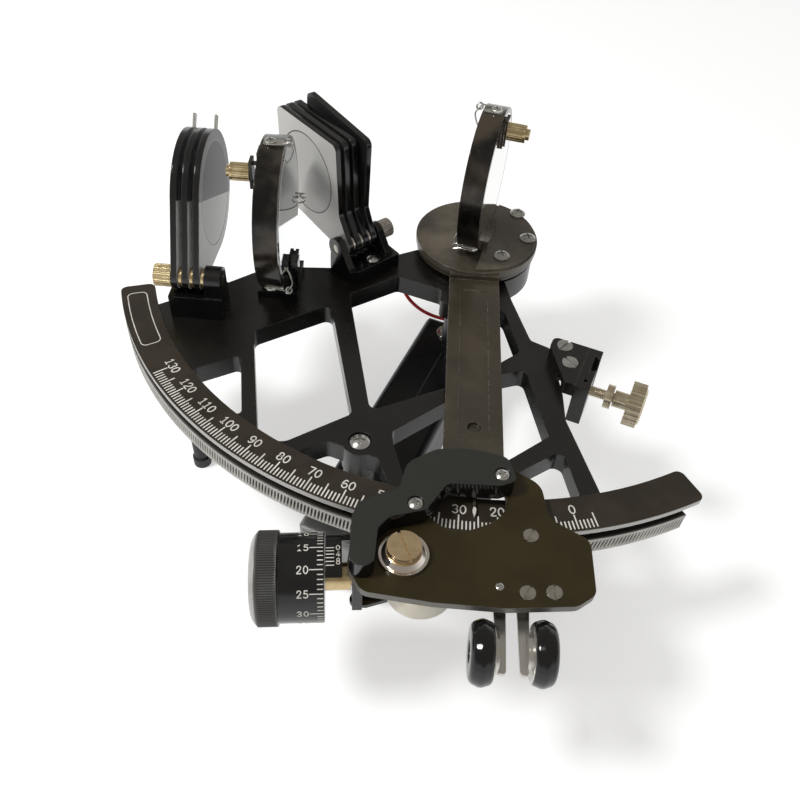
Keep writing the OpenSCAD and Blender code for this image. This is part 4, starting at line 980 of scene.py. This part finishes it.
def light_path(tree, *outputs):
    """1 for the rays named by their sockets of the Light Path node."""
    return sum(tree.node("ShaderNodeLightPath", output=output) for output in outputs).limited()


# Outputs of the Light Path node
CAMERA_RAY, GLOSSY_RAY, TRANSMISSION_RAY = 0, 3, 6
# How much the floor glows where it is seen, which lifts it to white outside the shadow
FLOOR_GLOW = (0.43, 0.425, 0.42, 1)
FLOOR_SHADE = (0.78, 0.78, 0.78, 1)
# Strengths of the white backdrop, of its light on dull surfaces, and of the ceiling that glossy ones show
BACKDROP, SOFT_LIGHT, CEILING = 1.0, 0.5, 0.35
LAMP_WIDTH, LAMP_POWER, LAMP_DISTANCE = 0.26, 8.0, 1.2

floor_material = bpy.data.materials.new("floor_white")
floor_material.use_nodes = True
floor_tree = Tree(floor_material.node_tree)
floor_shader = floor_material.node_tree.nodes["Principled BSDF"]
floor_shader.inputs["Base Color"].default_value = FLOOR_SHADE
floor_shader.inputs["Roughness"].default_value = 1.0
floor_shader.inputs["Specular IOR Level"].default_value = 0.0
floor_shader.inputs["Emission Strength"].default_value = 1.0
floor_seen = light_path(floor_tree, CAMERA_RAY, GLOSSY_RAY, TRANSMISSION_RAY)
floor_tree.feed(
    floor_shader.inputs["Emission Color"], floor_tree.mix(floor_seen, (0, 0, 0, 1), FLOOR_GLOW)
)
floor_mesh.materials.append(floor_material)

world = bpy.data.worlds.new("studio")
bpy.context.scene.world = world
world.use_nodes = True
world.node_tree.nodes.clear()
world_tree = Tree(world.node_tree)
soft = world_tree.node("ShaderNodeBackground", None, {"Color": (1, 1, 1, 1), "Strength": SOFT_LIGHT})
ceiling = world_tree.node("ShaderNodeBackground", None, {"Color": (1, 0.95, 0.87, 1), "Strength": CEILING})
white = world_tree.node("ShaderNodeBackground", None, {"Color": (1, 1, 1, 1), "Strength": BACKDROP})
sky = world_tree.node("ShaderNodeTexCoord")
overhead = world_tree.vector("DOT_PRODUCT", sky, (0, 0, 1), output=1).rise(0.1, 0.4)
glossy = light_path(world_tree, GLOSSY_RAY)
dim = world_tree.node("ShaderNodeMixShader", None, {0: glossy, 1: soft, 2: ceiling})
seen = light_path(world_tree, CAMERA_RAY, TRANSMISSION_RAY) + glossy * (1 - overhead)
blend = world_tree.node("ShaderNodeMixShader", None, {0: seen.limited(), 1: dim, 2: white})
output = world.node_tree.nodes.new("ShaderNodeOutputWorld")
world.node_tree.links.new(blend.socket, output.inputs["Surface"])

aim = Vector((0, 0, 0.05))
from_light = Vector((-0.54, -0.41, 1)).normalized()
lamp = bpy.data.lights.new("window", "AREA")
lamp.shape = "DISK"
lamp.size = LAMP_WIDTH
lamp.energy = LAMP_POWER
lamp_object = bpy.data.objects.new("window", lamp)
bpy.context.collection.objects.link(lamp_object)
lamp_object.location = aim + from_light * LAMP_DISTANCE
lamp_object.rotation_euler = from_light.to_track_quat("Z", "Y").to_euler()

bpy.context.scene.view_settings.view_transform = "Standard"
